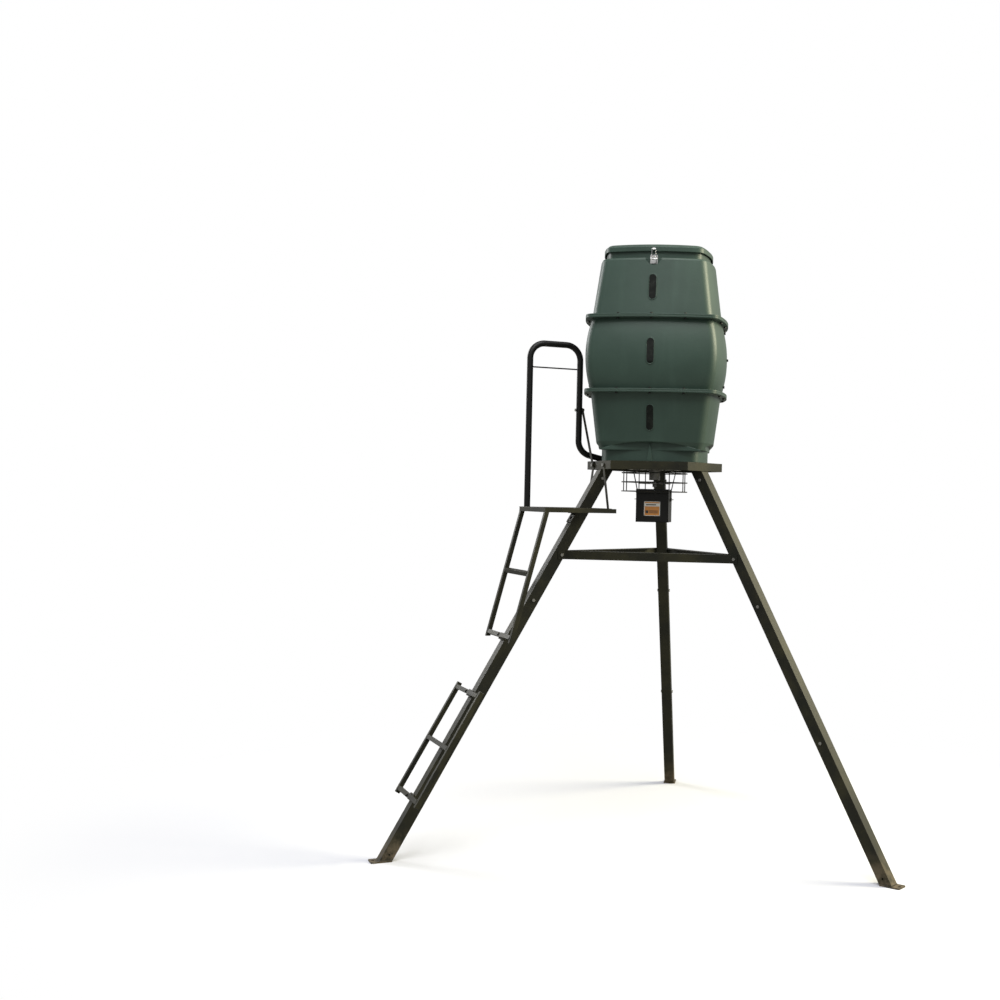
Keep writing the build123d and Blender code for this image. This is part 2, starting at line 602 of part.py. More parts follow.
with BuildPart() as platform_hangers:
    for hand in (-1, 1):
        top = Vector(hand * HANGER_TOP_SPREAD, FRAME_TOP - FRAME_DEPTH / 2)
        foot = Vector(hand * HANGER_FOOT_SPREAD, HANGER_FOOT_HEIGHT)
        with BuildSketch(facing_plane(LADDER_LEG, SHORT_BAR_APOTHEM)):
            SlotCenterPoint((top + foot) / 2, foot, STRAP_WIDTH)
        extrude(amount=STRAP_THICKNESS)
        bolt_hole(hanger_bolt(hand), STRAP_THICKNESS + 1)
        bolt_hole(hanger_foot(hand), STRAP_THICKNESS + 1)
save(platform_hangers, "platform_hangers")

# ---- Ladders, platform shelf and their bolts ----
RUNG_LENGTH = 2 * (PLATFORM_HALF_WIDTH - BAR)

with BuildPart() as upper_ladder:
    foot = leg_plane(LADDER_LEG, rung_height_on_leg(UPPER_LADDER_FOOT), LADDER_PROUD)
    foot_out = Vector(foot.origin.X, foot.origin.Y).length
    top = Vector(PLATFORM_OUTER - BAR / 2, PLATFORM_HEIGHT - BAR / 2)
    fall = Vector(foot_out, UPPER_LADDER_FOOT) - top
    rail_half = BAR / 2 * fall.length / abs(fall.Y)
    tail = top + fall * (1 + LADDER_RAIL_TAIL / fall.length)
    for hand in (-1, 1):
        with BuildSketch(radial_plane(LADDER_LEG, hand * (PLATFORM_HALF_WIDTH - BAR / 2))):
            Polygon(
                (top.X - rail_half, top.Y), (top.X + rail_half, top.Y),
                (tail.X + rail_half, tail.Y), (tail.X - rail_half, tail.Y), align=None,
            )
        extrude(amount=BAR / 2, both=True)
    share = (top.Y - PLATFORM_HEIGHT + UPPER_LADDER_STEP) / abs(fall.Y)
    with BuildSketch(radial_plane(LADDER_LEG)):
        with Locations(top + fall * share):
            Rectangle(BAR, BAR, rotation=Vector(1, 0, 0).get_signed_angle(fall))
    extrude(amount=RUNG_LENGTH / 2, both=True)
    with Locations(foot):
        Box(RUNG_LENGTH, BAR, BAR)
    bolt_hole(ladder_bolt(UPPER_LADDER_FOOT), RUNG_GRIP)
save(upper_ladder, "upper_ladder")

with BuildPart() as lower_ladder:
    rungs = [leg_plane(LADDER_LEG, rung_height_on_leg(height), LADDER_PROUD) for height in LOWER_LADDER_RUNGS]
    rail_length = (rungs[0].origin - rungs[-1].origin).length + 2 * LADDER_RAIL_TAIL
    for rung in rungs:
        with Locations(rung):
            Box(RUNG_LENGTH, BAR, BAR)
    with Locations(rungs[1]):
        with Locations((PLATFORM_HALF_WIDTH - BAR / 2, 0), (-PLATFORM_HALF_WIDTH + BAR / 2, 0)):
            Box(BAR, BAR, rail_length)
    for height in (LOWER_LADDER_RUNGS[0], LOWER_LADDER_RUNGS[-1]):
        bolt_hole(ladder_bolt(height), RUNG_GRIP)
save(lower_ladder, "lower_ladder")

with BuildPart() as ladder_brackets:
    for height in BRACKET_RUNGS:
        with Locations(leg_plane(LADDER_LEG, rung_height_on_leg(height), LEG_TUBE / 2 + LADDER_STANDOFF / 2)):
            Box(LEG_TUBE + 8, LADDER_STANDOFF, 1.6 * BAR)
    for height in BRACKET_RUNGS:
        bolt_hole(ladder_bolt(height), RUNG_GRIP)
save(ladder_brackets, "ladder_brackets")

with BuildPart() as platform_shelf:
    underside = PLATFORM_HEIGHT - BAR / 2
    face = LEG_TUBE / 2 / sin(radians(LEG_SLOPE))
    lower_end = underside - SHELF_LENGTH
    with BuildSketch(radial_plane(LADDER_LEG)):
        with BuildLine():
            Polyline(
                (leg_distance(lower_end) + face, lower_end),
                (leg_distance(underside) + face, underside),
                (leg_distance(underside) + face + BAR + SHELF_THICKNESS, underside),
            )
            offset(amount=SHELF_THICKNESS, side=Side.RIGHT, kind=Kind.INTERSECTION)
        make_face()
    extrude(amount=SHELF_WIDTH / 2, both=True)
    bolt_hole(shelf_bolt(), SHELF_GRIP)
save(platform_shelf, "platform_shelf")

with BuildPart() as ladder_bolts:
    for height in BRACKET_RUNGS:
        bolt(ladder_bolt(height), RUNG_GRIP)
    bolt(shelf_bolt(), SHELF_GRIP)
save(ladder_bolts, "ladder_bolts")

# ---- Grab rail with its strap ----
RAIL_LANDING_HEIGHT = FRAME_TOP + RAIL_RADIUS + 0.1
STRAP_FOOT = facing_plane(
    LADDER_LEG,
    SHORT_BAR_APOTHEM + STRAP_THICKNESS + RAIL_STRAP_GAP,
    FRAME_TOP - FRAME_DEPTH / 2,
    -HANGER_TOP_SPREAD,
)
STRAP_HEAD = facing_plane(
    LADDER_LEG, RAIL_INNER - RAIL_RADIUS - STRAP_THICKNESS - RAIL_STRAP_GAP, RAIL_STRAP_HEIGHT, RAIL_SIDE
)


def rail_strap_plane():
    """Plane of the strap's inner face, x from its foot to its head."""
    along = STRAP_HEAD.origin - STRAP_FOOT.origin
    level = along.cross(STRAP_FOOT.z_dir)
    return Plane(origin=STRAP_FOOT.origin, x_dir=along, z_dir=level.cross(along))


def rail_strap_bolt():
    """Plane on the strap's inner face where the bolt through the rail has its head."""
    strap = rail_strap_plane()
    length = (STRAP_HEAD.origin - STRAP_FOOT.origin).length
    return Plane(origin=strap.origin + strap.x_dir * length, z_dir=-strap.z_dir)


RAIL_GRIP = STRAP_THICKNESS + 2 * RAIL_RADIUS + 2 * RAIL_STRAP_GAP

with BuildPart() as grab_rail:
    with BuildLine(radial_plane(LADDER_LEG, RAIL_SIDE)) as route:
        FilletPolyline(
            (RAIL_OUTER, PLATFORM_HEIGHT + BAR / 2),
            (RAIL_OUTER, RAIL_TOP - RAIL_RADIUS),
            (RAIL_INNER, RAIL_TOP - RAIL_RADIUS),
            (RAIL_INNER, RAIL_LANDING_HEIGHT + RAIL_FOOT_RISE),
            (RAIL_LANDING, RAIL_LANDING_HEIGHT),
            radius=RAIL_BEND,
        )
    with BuildSketch(rising(LADDER_LEG, RAIL_OUTER, PLATFORM_HEIGHT + BAR / 2, RAIL_SIDE)):
        Circle(RAIL_RADIUS)
        Circle(RAIL_RADIUS - RAIL_WALL, mode=Mode.SUBTRACT)
    sweep(path=route.line)
    with Locations(facing_plane(LADDER_LEG, RAIL_INNER + RAIL_RADIUS - RAIL_WALL / 2, RAIL_ROD_HEIGHT, RAIL_SIDE)):
        Cylinder(
            RAIL_ROD_RADIUS,
            RAIL_OUTER - RAIL_INNER - 2 * RAIL_RADIUS + RAIL_WALL,
            align=(Align.CENTER, Align.CENTER, Align.MIN),
        )
    bolt_hole(rail_strap_bolt(), RAIL_GRIP + 1)
save(grab_rail, "grab_rail")

with BuildPart() as rail_strap:
    with BuildSketch(rail_strap_plane()):
        reach = (STRAP_HEAD.origin - STRAP_FOOT.origin).length
        SlotCenterPoint((reach / 2, 0), (reach, 0), STRAP_WIDTH)
    extrude(amount=STRAP_THICKNESS)
    bolt_hole(hanger_bolt(-1).offset(STRAP_THICKNESS), 2 * STRAP_THICKNESS)
    bolt_hole(rail_strap_bolt(), STRAP_THICKNESS + 1)
save(rail_strap, "rail_strap")

with BuildPart() as hanger_bolts:
    for hand in (-1, 1):
        stack = STRAP_THICKNESS + 2 * RAIL_STRAP_GAP if hand < 0 else 0.0
        bolt(hanger_bolt(hand).offset(stack), HANGER_GRIP + stack)
        bolt(hanger_foot(hand), BAR + STRAP_THICKNESS)
    bolt(rail_strap_bolt(), RAIL_GRIP)
save(hanger_bolts, "hanger_bolts")

# ---- Hopper: three stacked mouldings ----
def window_slot(middle, width, height, depth):
    """Slot through the hopper's front wall, cut into the piece being built."""
    with BuildSketch(Plane.XZ.offset(FLANGE_HALF)) as slot:
        with Locations((0, middle)):
            SlotOverall(height, width, rotation=90)
    extrude(slot.sketch, amount=-depth, mode=Mode.SUBTRACT)


def framed_window(levels, middle):
    """Raised rim and clear slot of a sight window, made in the hopper wall being built."""
    rim_width = WINDOW_WIDTH + 2 * WINDOW_RIM
    rim_height = WINDOW_HEIGHT + 2 * WINDOW_RIM
    add(wall_patch(levels, WINDOW_RIM_PROUD, HOPPER_WALL / 2, rim_width, rim_height, middle))
    window_slot(middle, WINDOW_WIDTH, WINDOW_HEIGHT, FLANGE_HALF / 2)


def flange(height):
    """Bolting flange round the hopper, standing up from a height, added to the piece being built."""
    extrude(hopper_section(height, FLANGE_HALF), amount=FLANGE_THICKNESS)


UPPER_WINDOW = EXTENSION_TOP + FLANGE_THICKNESS + UPPER_TUB_HEIGHT / 2 - 5
LOWER_WINDOW = LOWER_TUB_BOTTOM + LOWER_TUB_HEIGHT / 2 - 2
EXTENSION_WINDOW = EXTENSION_MIDDLE + 8
WINDOWS = (
    ("window_upper", upper_tub_levels, UPPER_WINDOW),
    ("window_middle", extension_levels, EXTENSION_WINDOW),
    ("window_lower", lower_tub_levels, LOWER_WINDOW),
)
SCOOP_CORNER = LOWER_TUB_BOTTOM_HALF - HOPPER_BOW - 6
BOSS_SECTION = {"bow": 3.0, "corner": 19.0}

with BuildPart() as lower_tub:
    loft(sections(lower_tub_levels(0)), ruled=True)
    loft([hopper_section(SKIRT_TOP, SKIRT_HALF + 14), hopper_section(LOWER_TUB_BOTTOM, LOWER_TUB_BOTTOM_HALF)])
    with BuildSketch(Plane.XZ.offset(SKIRT_HALF)) as scoop:
        with BuildLine():
            Polyline((SCOOP_CORNER, SKIRT_TOP), (SCOOP_CORNER, SKIRT_TOP - 5), (-SCOOP_CORNER, SKIRT_TOP - 5),
                     (-SCOOP_CORNER, SKIRT_TOP))
            ThreePointArc((-SCOOP_CORNER, SKIRT_TOP), (0, LOWER_TUB_BOTTOM), (SCOOP_CORNER, SKIRT_TOP))
        make_face()
    for side in range(4):
        extrude(scoop.sketch.rotate(Axis.Z, 90 * side), amount=HOPPER_BOW, mode=Mode.SUBTRACT)
    extrude(hopper_section(FRAME_TOP, SKIRT_HALF), amount=LOWER_TUB_BOTTOM - FRAME_TOP)
    with BuildSketch(Plane.XZ.offset(SKIRT_HALF + RIB_PROUD)):
        with BuildLine():
            Polyline((-RIB_WIDTH / 2, FRAME_TOP), (RIB_WIDTH / 2, FRAME_TOP), (0, LOWER_TUB_BOTTOM), close=True)
        make_face()
    extrude(amount=-RIB_PROUD - HOPPER_WALL)
    extrude(hopper_section(FRAME_TOP, SKIRT_HALF - HOPPER_WALL), amount=LOWER_TUB_BOTTOM - FRAME_TOP,
            mode=Mode.SUBTRACT)
    extrude(hopper_section(FRAME_TOP, SKIRT_HALF - 1), amount=SKIRT_LIP)
    extrude(hopper_section(FRAME_TOP, SKIRT_HALF - SKIRT_LIP_WIDTH - HOPPER_WALL), amount=SKIRT_LIP,
            mode=Mode.SUBTRACT)
    loft([hopper_section(FLOOR_FOOT, OUTLET_HALF + HOPPER_WALL, **BOSS_SECTION),
          hopper_section(FLOOR_TOP, LOWER_TUB_BOTTOM_HALF - 1)])
    with Locations((0, 0, OUTLET_FACE)):
        Cylinder(OUTLET_BOSS_RADIUS, OUTLET_BOSS_HEIGHT + 4, align=(Align.CENTER, Align.CENTER, Align.MIN))
    flange(LOWER_TUB_TOP - FLANGE_THICKNESS)
    loft([hopper_section(FLOOR_FOOT, OUTLET_HALF, **BOSS_SECTION),
          hopper_section(FLOOR_TOP, LOWER_TUB_BOTTOM_HALF - HOPPER_WALL)], mode=Mode.SUBTRACT)
    loft([hopper_section(FLOOR_TOP, LOWER_TUB_BOTTOM_HALF - HOPPER_WALL),
          hopper_section(LOWER_TUB_TOP, TUB_RIM_HALF - HOPPER_WALL)], mode=Mode.SUBTRACT)
    framed_window(lower_tub_levels, LOWER_WINDOW)
    with Locations((0, 0, OUTLET_FACE)):
        Cylinder(SPOUT_RADIUS + 0.1, 2 * OUTLET_BOSS_HEIGHT + 4, mode=Mode.SUBTRACT)
    with Locations((0, 0, OUTLET_FACE)):
        with GridLocations(2 * SPOUT_SCREW_SPREAD, 2 * SPOUT_SCREW_SPREAD, 2, 2):
            Cylinder(FLANGE_BOLT_RADIUS + BOLT_FIT, 2 * OUTLET_BOSS_HEIGHT - 2, mode=Mode.SUBTRACT)
    for place in flange_bolt_places(LOWER_TUB_TOP):
        bolt_hole(place, 2 * FLANGE_THICKNESS, FLANGE_BOLT_RADIUS)
    for azimuth, distance in HOPPER_BOLTS:
        bolt_hole(rising(azimuth, distance, FRAME_TOP + SKIRT_LIP), SKIRT_LIP + FRAME_WALL)
save(lower_tub, "lower_tub")

# The extension is moulded as a front and a back half that lap at the sides.
SEAM_BOLT_SETBACK = LAP_WIDTH / 2 - 2


def seam_bolt_places(proud):
    """Places on both sides of the extension where its halves are bolted, facing outwards."""
    places = []
    for rise in SEAM_BOLT_HEIGHTS:
        half_height = (EXTENSION_TOP - LOWER_TUB_TOP) / 2
        swell = (EXTENSION_BULGE_HALF - TUB_RIM_HALF) * (1 - (rise / half_height) ** 2)
        for hand in (-1, 1):
            spot = Vector(hand * (TUB_RIM_HALF + swell + proud), -SEAM_BOLT_SETBACK, EXTENSION_MIDDLE + rise)
            places.append(Plane(origin=spot, z_dir=(hand, 0, 0)))
    return places


def extension_half(back):
    """One half of the bulging extension with its flanges; back is 1 for the rear half, -1 for the front."""
    with BuildPart() as half:
        loft(sections(extension_levels(0)))
        loft(sections(extension_levels(-HOPPER_WALL)), mode=Mode.SUBTRACT)
        for height in (LOWER_TUB_TOP, EXTENSION_TOP - FLANGE_THICKNESS):
            extrude(hopper_section(height, FLANGE_HALF), amount=FLANGE_THICKNESS)
            extrude(hopper_section(height, TUB_RIM_HALF - HOPPER_WALL), amount=FLANGE_THICKNESS,
                    mode=Mode.SUBTRACT)
        split(bisect_by=Plane.XZ, keep=Keep.TOP if back < 0 else Keep.BOTTOM)
    return half.part


def lap_strip(gap, front, rear):
    """Inner strip along both side seams, reaching from front to rear."""
    with BuildPart() as strip:
        loft(sections(extension_levels(-HOPPER_WALL - gap)))
        loft(sections(extension_levels(-2 * HOPPER_WALL - gap)), mode=Mode.SUBTRACT)
        with BuildSketch(Plane.XY.offset(LOWER_TUB_TOP + FLANGE_THICKNESS)):
            with Locations((0, (front + rear) / 2)):
                Rectangle(2 * FLANGE_HALF, rear - front)
        extrude(amount=EXTENSION_HEIGHT - 2 * FLANGE_THICKNESS, mode=Mode.INTERSECT)
    return strip.part


with BuildPart() as middle_front:
    add(extension_half(-1))
    framed_window(extension_levels, EXTENSION_WINDOW)
    for height in (LOWER_TUB_TOP, EXTENSION_TOP):
        for place in flange_bolt_places(height):
            bolt_hole(place, 2 * FLANGE_THICKNESS, FLANGE_BOLT_RADIUS)
    for place in seam_bolt_places(0):
        bolt_hole(place, 4 * HOPPER_WALL, FLANGE_BOLT_RADIUS)
save(middle_front, "middle_front")

with BuildPart() as middle_back:
    add(extension_half(1))
    add(lap_strip(LAP_GAP, -LAP_WIDTH, 0.0))
    add(lap_strip(-1.0, 0.0, LAP_WIDTH / 2))
    for height in (LOWER_TUB_TOP, EXTENSION_TOP):
        for place in flange_bolt_places(height):
            bolt_hole(place, 2 * FLANGE_THICKNESS, FLANGE_BOLT_RADIUS)
    for place in seam_bolt_places(0):
        bolt_hole(place, 4 * HOPPER_WALL, FLANGE_BOLT_RADIUS)
save(middle_back, "middle_back")

# Upper tub: latch recess in front, neck for the lid.
NECK_TOP = LID_BOTTOM + NECK_INSERT
RECESS_CENTRE = SHOULDER_TOP + RECESS_RISE

with BuildPart() as upper_tub:
    loft(sections(upper_tub_levels(0)), ruled=True)
    wall_top = SHOULDER_TOP - SHOULDER_ROUND
    loft([hopper_section(wall_top, SHOULDER_HALF), hopper_section(wall_top + 6, SHOULDER_HALF - 2.6),
          hopper_section(SHOULDER_TOP, SHOULDER_HALF - SHOULDER_ROUND)], ruled=True)
    loft([hopper_section(EXTENSION_TOP, TUB_RIM_HALF - HOPPER_WALL),
          hopper_section(wall_top, SHOULDER_HALF - HOPPER_WALL)], ruled=True, mode=Mode.SUBTRACT)
    loft([hopper_section(wall_top, SHOULDER_HALF - HOPPER_WALL),
          hopper_section(SHOULDER_TOP - HOPPER_WALL, NECK_HALF - HOPPER_WALL)], ruled=True, mode=Mode.SUBTRACT)
    with BuildSketch(Plane.XZ.offset(SHOULDER_HALF - SHOULDER_ROUND)):
        with Locations((0, RECESS_CENTRE)):
            Circle(RECESS_RADIUS + HOPPER_WALL)
        with Locations((0, SHOULDER_TOP)):
            Rectangle(4 * RECESS_RADIUS, 4 * RECESS_RADIUS, align=(Align.CENTER, Align.MAX), mode=Mode.INTERSECT)
    extrude(amount=-(SHOULDER_HALF - SHOULDER_ROUND - NECK_HALF + HOPPER_WALL))
    extrude(hopper_section(SHOULDER_TOP - 1, NECK_HALF), amount=NECK_TOP - SHOULDER_TOP + 1)
    extrude(hopper_section(SHOULDER_TOP - HOPPER_WALL - 1, NECK_HALF - HOPPER_WALL),
            amount=NECK_TOP - SHOULDER_TOP + HOPPER_WALL + 1, mode=Mode.SUBTRACT)
    with BuildSketch(Plane.XZ.offset(NECK_HALF)):
        with Locations((0, RECESS_CENTRE)):
            Circle(RECESS_RADIUS)
    extrude(amount=FLANGE_HALF - NECK_HALF, mode=Mode.SUBTRACT)
    flange(EXTENSION_TOP)
    extrude(hopper_section(EXTENSION_TOP, TUB_RIM_HALF - HOPPER_WALL), amount=FLANGE_THICKNESS,
            mode=Mode.SUBTRACT)
    framed_window(upper_tub_levels, UPPER_WINDOW)
    for place in flange_bolt_places(EXTENSION_TOP):
        bolt_hole(place, 2 * FLANGE_THICKNESS, FLANGE_BOLT_RADIUS)
save(upper_tub, "upper_tub")

for name, levels, middle in WINDOWS:
    with BuildPart() as window:
        add(wall_patch(levels, WINDOW_PROUD, HOPPER_WALL / 2, WINDOW_WIDTH - 2 * WINDOW_FIT,
                       WINDOW_HEIGHT - 2 * WINDOW_FIT, middle))
    save(window, name)

with BuildPart() as flange_bolts:
    for height in (LOWER_TUB_TOP + FLANGE_THICKNESS, EXTENSION_TOP + FLANGE_THICKNESS):
        for place in flange_bolt_places(height):
            bolt(place, 2 * FLANGE_THICKNESS, FLANGE_BOLT_RADIUS, 0.8 * BOLT_HEAD_FLATS)
save(flange_bolts, "flange_bolts")

with BuildPart() as seam_bolts:
    for place in seam_bolt_places(SEAM_BOLT_LIFT):
        bolt(place, 2 * HOPPER_WALL + LAP_GAP + 2 * SEAM_BOLT_LIFT, FLANGE_BOLT_RADIUS, 0.8 * BOLT_HEAD_FLATS)
save(seam_bolts, "seam_bolts")

# ---- Lid, its hinge and its draw latch ----
PIN_OUT = LID_HALF + HINGE_SETBACK
HINGE_PIN_Z = SHOULDER_TOP + HINGE_PIN_HEIGHT
KNUCKLE = HINGE_WIDTH / 3

with BuildPart() as lid:
    extrude(hopper_section(LID_BOTTOM, LID_HALF), amount=LID_SKIRT - LID_EDGE)
    loft([hopper_section(LID_TOP - LID_EDGE, LID_HALF), hopper_section(LID_TOP, LID_HALF - LID_EDGE),
          hopper_section(LID_TOP + LID_CROWN, LID_HALF / 3, bow=12, corner=30)], ruled=True)
    extrude(hopper_section(LID_BOTTOM, LID_HALF - LID_WALL), amount=LID_SKIRT - LID_EDGE, mode=Mode.SUBTRACT)
save(lid, "lid")


def hinge_leaf(lower, upper, face, knuckles):
    """Flat hinge leaf at the rear with knuckles round the pin; knuckles are their middles along x."""
    with BuildPart() as leaf:
        with BuildSketch(Plane.YZ):
            with Locations((face, lower)):
                Rectangle(HINGE_LEAF, upper - lower, align=Align.MIN)
        extrude(amount=HINGE_WIDTH / 2, both=True)
        for middle in knuckles:
            with BuildSketch(Plane.YZ.offset(middle - KNUCKLE / 2 + 0.3)):
                with Locations((PIN_OUT, HINGE_PIN_Z)):
                    Circle(HINGE_KNUCKLE_RADIUS)
                with Locations((face, HINGE_PIN_Z - HINGE_KNUCKLE_RADIUS)):
                    Rectangle(PIN_OUT - face, HINGE_LEAF, align=Align.MIN)
                with Locations((PIN_OUT, HINGE_PIN_Z)):
                    Circle(HINGE_PIN_RADIUS + PIN_FIT, mode=Mode.SUBTRACT)
            extrude(amount=KNUCKLE - 0.6)
    return leaf.part


with BuildPart() as lid_hinge_leaf:
    add(hinge_leaf(LID_BOTTOM + 2, LID_TOP - 3, LID_HALF, [-KNUCKLE, KNUCKLE]))
save(lid_hinge_leaf, "lid_hinge_leaf")

with BuildPart() as tub_hinge_leaf:
    with BuildSketch(Plane.YZ):
        with BuildLine():
            Polyline(
                (NECK_HALF, LID_BOTTOM - 3),
                (NECK_HALF, SHOULDER_TOP + 6),
                (PIN_OUT + HINGE_KNUCKLE_RADIUS - HINGE_LEAF, SHOULDER_TOP + 6),
                (PIN_OUT + HINGE_KNUCKLE_RADIUS - HINGE_LEAF, HINGE_PIN_Z),
            )
            offset(amount=HINGE_LEAF, side=Side.LEFT, kind=Kind.INTERSECTION)
        make_face()
    extrude(amount=(KNUCKLE - 0.6) / 2, both=True)
    with BuildSketch(Plane.YZ):
        with Locations((PIN_OUT, HINGE_PIN_Z)):
            Circle(HINGE_KNUCKLE_RADIUS)
            Circle(HINGE_PIN_RADIUS + PIN_FIT, mode=Mode.SUBTRACT)
    extrude(amount=(KNUCKLE - 0.6) / 2, both=True)
    with Locations((0, PIN_OUT, HINGE_PIN_Z)):
        Cylinder(HINGE_PIN_RADIUS + PIN_FIT, HINGE_WIDTH, rotation=(0, 90, 0), mode=Mode.SUBTRACT)
save(tub_hinge_leaf, "tub_hinge_leaf")

with BuildPart() as lid_hinge_pin:
    with Locations((0, PIN_OUT, HINGE_PIN_Z)):
        Cylinder(HINGE_PIN_RADIUS, HINGE_WIDTH + 4, rotation=(0, 90, 0))
save(lid_hinge_pin, "lid_hinge_pin")


def latch_point(outside, above):
    """Point of the latch's side view: outside the recess floor, above the shoulder."""
    return (-NECK_HALF - outside, SHOULDER_TOP + above)


LEVER_PIN = latch_point(LEVER_PIVOT_OUT, -LEVER_PIVOT_DROP)
BAIL_PIN = latch_point(LEVER_PIVOT_OUT + LEVER_CRANK, -LEVER_PIVOT_DROP)
CATCH = latch_point(CATCH_OUT, CATCH_HEIGHT)
LATCH_PIN_RADIUS = BAIL_WIRE / 2
CHEEK = LATCH_PLATE
BASE_EAR_IN = LEVER_WIDTH / 2 + 0.4
LATCH_EYE = LATCH_PIN_RADIUS + 1.8

with BuildPart() as latch_base:
    with BuildSketch(Plane.XZ.offset(NECK_HALF)):
        with Locations((0, SHOULDER_TOP - LEVER_PIVOT_DROP)):
            RectangleRounded(LATCH_BASE_WIDTH, 40, 4)
    extrude(amount=LATCH_PLATE)
    for hand in (-1, 1):
        middle = hand * (BASE_EAR_IN + CHEEK / 2)
        with BuildSketch(Plane.YZ.offset(middle)):
            with Locations(LEVER_PIN):
                Circle(LATCH_EYE)
            with Locations((-NECK_HALF - LATCH_PLATE / 2, LEVER_PIN[1])):
                Rectangle(LEVER_PIVOT_OUT - LATCH_PLATE / 2, 2 * LATCH_EYE, align=(Align.MAX, Align.CENTER))
            with Locations(LEVER_PIN):
                Circle(LATCH_PIN_RADIUS + PIN_FIT, mode=Mode.SUBTRACT)
        extrude(amount=CHEEK / 2, both=True)
save(latch_base, "latch_base")

with BuildPart() as latch_lever:
    for hand in (-1, 1):
        middle = hand * (LEVER_WIDTH / 2 - CHEEK / 2)
        with BuildSketch(Plane.YZ.offset(middle)):
            with BuildLine():
                outer = LATCH_EYE
                Polyline(
                    (LEVER_PIN[0], LEVER_PIN[1] + outer),
                    (BAIL_PIN[0], BAIL_PIN[1] + outer),
                    (BAIL_PIN[0] - 1.5, BAIL_PIN[1]),
                    (BAIL_PIN[0] - 1.5, BAIL_PIN[1] - LEVER_REACH),
                    (BAIL_PIN[0] + 1.5, BAIL_PIN[1] - LEVER_REACH),
                    (LEVER_PIN[0], LEVER_PIN[1] - outer),
                    close=True,
                )
            make_face()
            with Locations(LEVER_PIN):
                Circle(outer)
            with Locations(BAIL_PIN):
                Circle(LATCH_PIN_RADIUS + PIN_FIT, mode=Mode.SUBTRACT)
        extrude(amount=CHEEK / 2, both=True)
    with BuildSketch(Plane.XZ.offset(-BAIL_PIN[0] - 0.1)):
        with Locations((0, BAIL_PIN[1] - 4)):
            Rectangle(LEVER_WIDTH - CHEEK, LEVER_REACH - 8, align=(Align.CENTER, Align.MAX))
        with Locations((0, BAIL_PIN[1] - LEVER_REACH + 4)):
            Circle(LEVER_WIDTH / 2)
            Rectangle(2 * LEVER_WIDTH, LEVER_WIDTH, align=(Align.CENTER, Align.MIN), mode=Mode.SUBTRACT)
        with Locations((0, BAIL_PIN[1] - LEVER_REACH + 4)):
            Rectangle(LEVER_WIDTH, 4, align=(Align.CENTER, Align.MIN))
    extrude(amount=1.4)
    with Locations((0, LEVER_PIN[0], LEVER_PIN[1])):
        Cylinder(LATCH_PIN_RADIUS, LEVER_WIDTH + 2 * CHEEK + 1.6, rotation=(0, 90, 0))
save(latch_lever, "latch_lever")

with BuildPart() as latch_bail:
    arm_in = LEVER_WIDTH / 2 - CHEEK - BAIL_SIDE_GAP
    for hand in (-1, 1):
        with BuildSketch(Plane.YZ.offset(hand * (arm_in - CHEEK / 2))):
            SlotCenterPoint((Vector(*CATCH) + Vector(*BAIL_PIN)) / 2, Vector(*CATCH), BAIL_WIRE)
        extrude(amount=CHEEK / 2, both=True)
    with Locations((0, *CATCH)):
        Cylinder(BAIL_WIRE / 2, 2 * arm_in, rotation=(0, 90, 0))
    with Locations((0, *BAIL_PIN)):
        Cylinder(LATCH_PIN_RADIUS, LEVER_WIDTH, rotation=(0, 90, 0))
save(latch_bail, "latch_bail")

with BuildPart() as lid_keeper:
    ledge = CATCH_HEIGHT - BAIL_WIRE / 2
    lip_in = CATCH_OUT + BAIL_WIRE / 2 + KEEPER_LIP_GAP
    with BuildSketch(Plane.YZ):
        with BuildLine():
            Polyline(
                latch_point(LID_HALF - NECK_HALF, ledge - 5),
                latch_point(LID_HALF - NECK_HALF + LATCH_PLATE, ledge - 5),
                latch_point(lip_in + LATCH_PLATE - 0.4, ledge - 2),
                latch_point(lip_in + LATCH_PLATE - 0.4, ledge + KEEPER_LIP),
                latch_point(lip_in, ledge + KEEPER_LIP),
                latch_point(lip_in, ledge),
                latch_point(LID_HALF - NECK_HALF + LATCH_PLATE, ledge),
                latch_point(LID_HALF - NECK_HALF + LATCH_PLATE, ledge + 9),
                latch_point(LID_HALF - NECK_HALF, ledge + 9),
                close=True,
            )
        make_face()
    extrude(amount=KEEPER_WIDTH / 2, both=True)
save(lid_keeper, "lid_keeper")

# ---- Spout, cage and feeder unit ----
STRAP_BOLT_OUT = STRAP_TOP_HALF - 14

with BuildPart() as spout:
    with BuildSketch(Plane.XY.offset(PLATE_FACE)):
        RectangleRounded(OUTLET_PLATE_LENGTH, OUTLET_PLATE_WIDTH, 12)
        with Locations((-STRAP_BOLT_OUT, 0), (STRAP_BOLT_OUT, 0)):
            Circle(BOLT_RADIUS + BOLT_FIT, mode=Mode.SUBTRACT)
        with GridLocations(2 * SPOUT_SCREW_SPREAD, 2 * SPOUT_SCREW_SPREAD, 2, 2):
            Circle(FLANGE_BOLT_RADIUS + BOLT_FIT, mode=Mode.SUBTRACT)
    extrude(amount=OUTLET_PLATE_THICKNESS)
    with BuildSketch(Plane.XY.offset(SPOUT_MOUTH)):
        Circle(SPOUT_RADIUS)
    extrude(amount=SPOUT_LENGTH + OUTLET_BOSS_HEIGHT)
    with BuildSketch(Plane.XY.offset(SPOUT_MOUTH)):
        Circle(SPOUT_RADIUS - SPOUT_WALL)
    extrude(amount=SPOUT_LENGTH + OUTLET_BOSS_HEIGHT, mode=Mode.SUBTRACT)
save(spout, "spout")

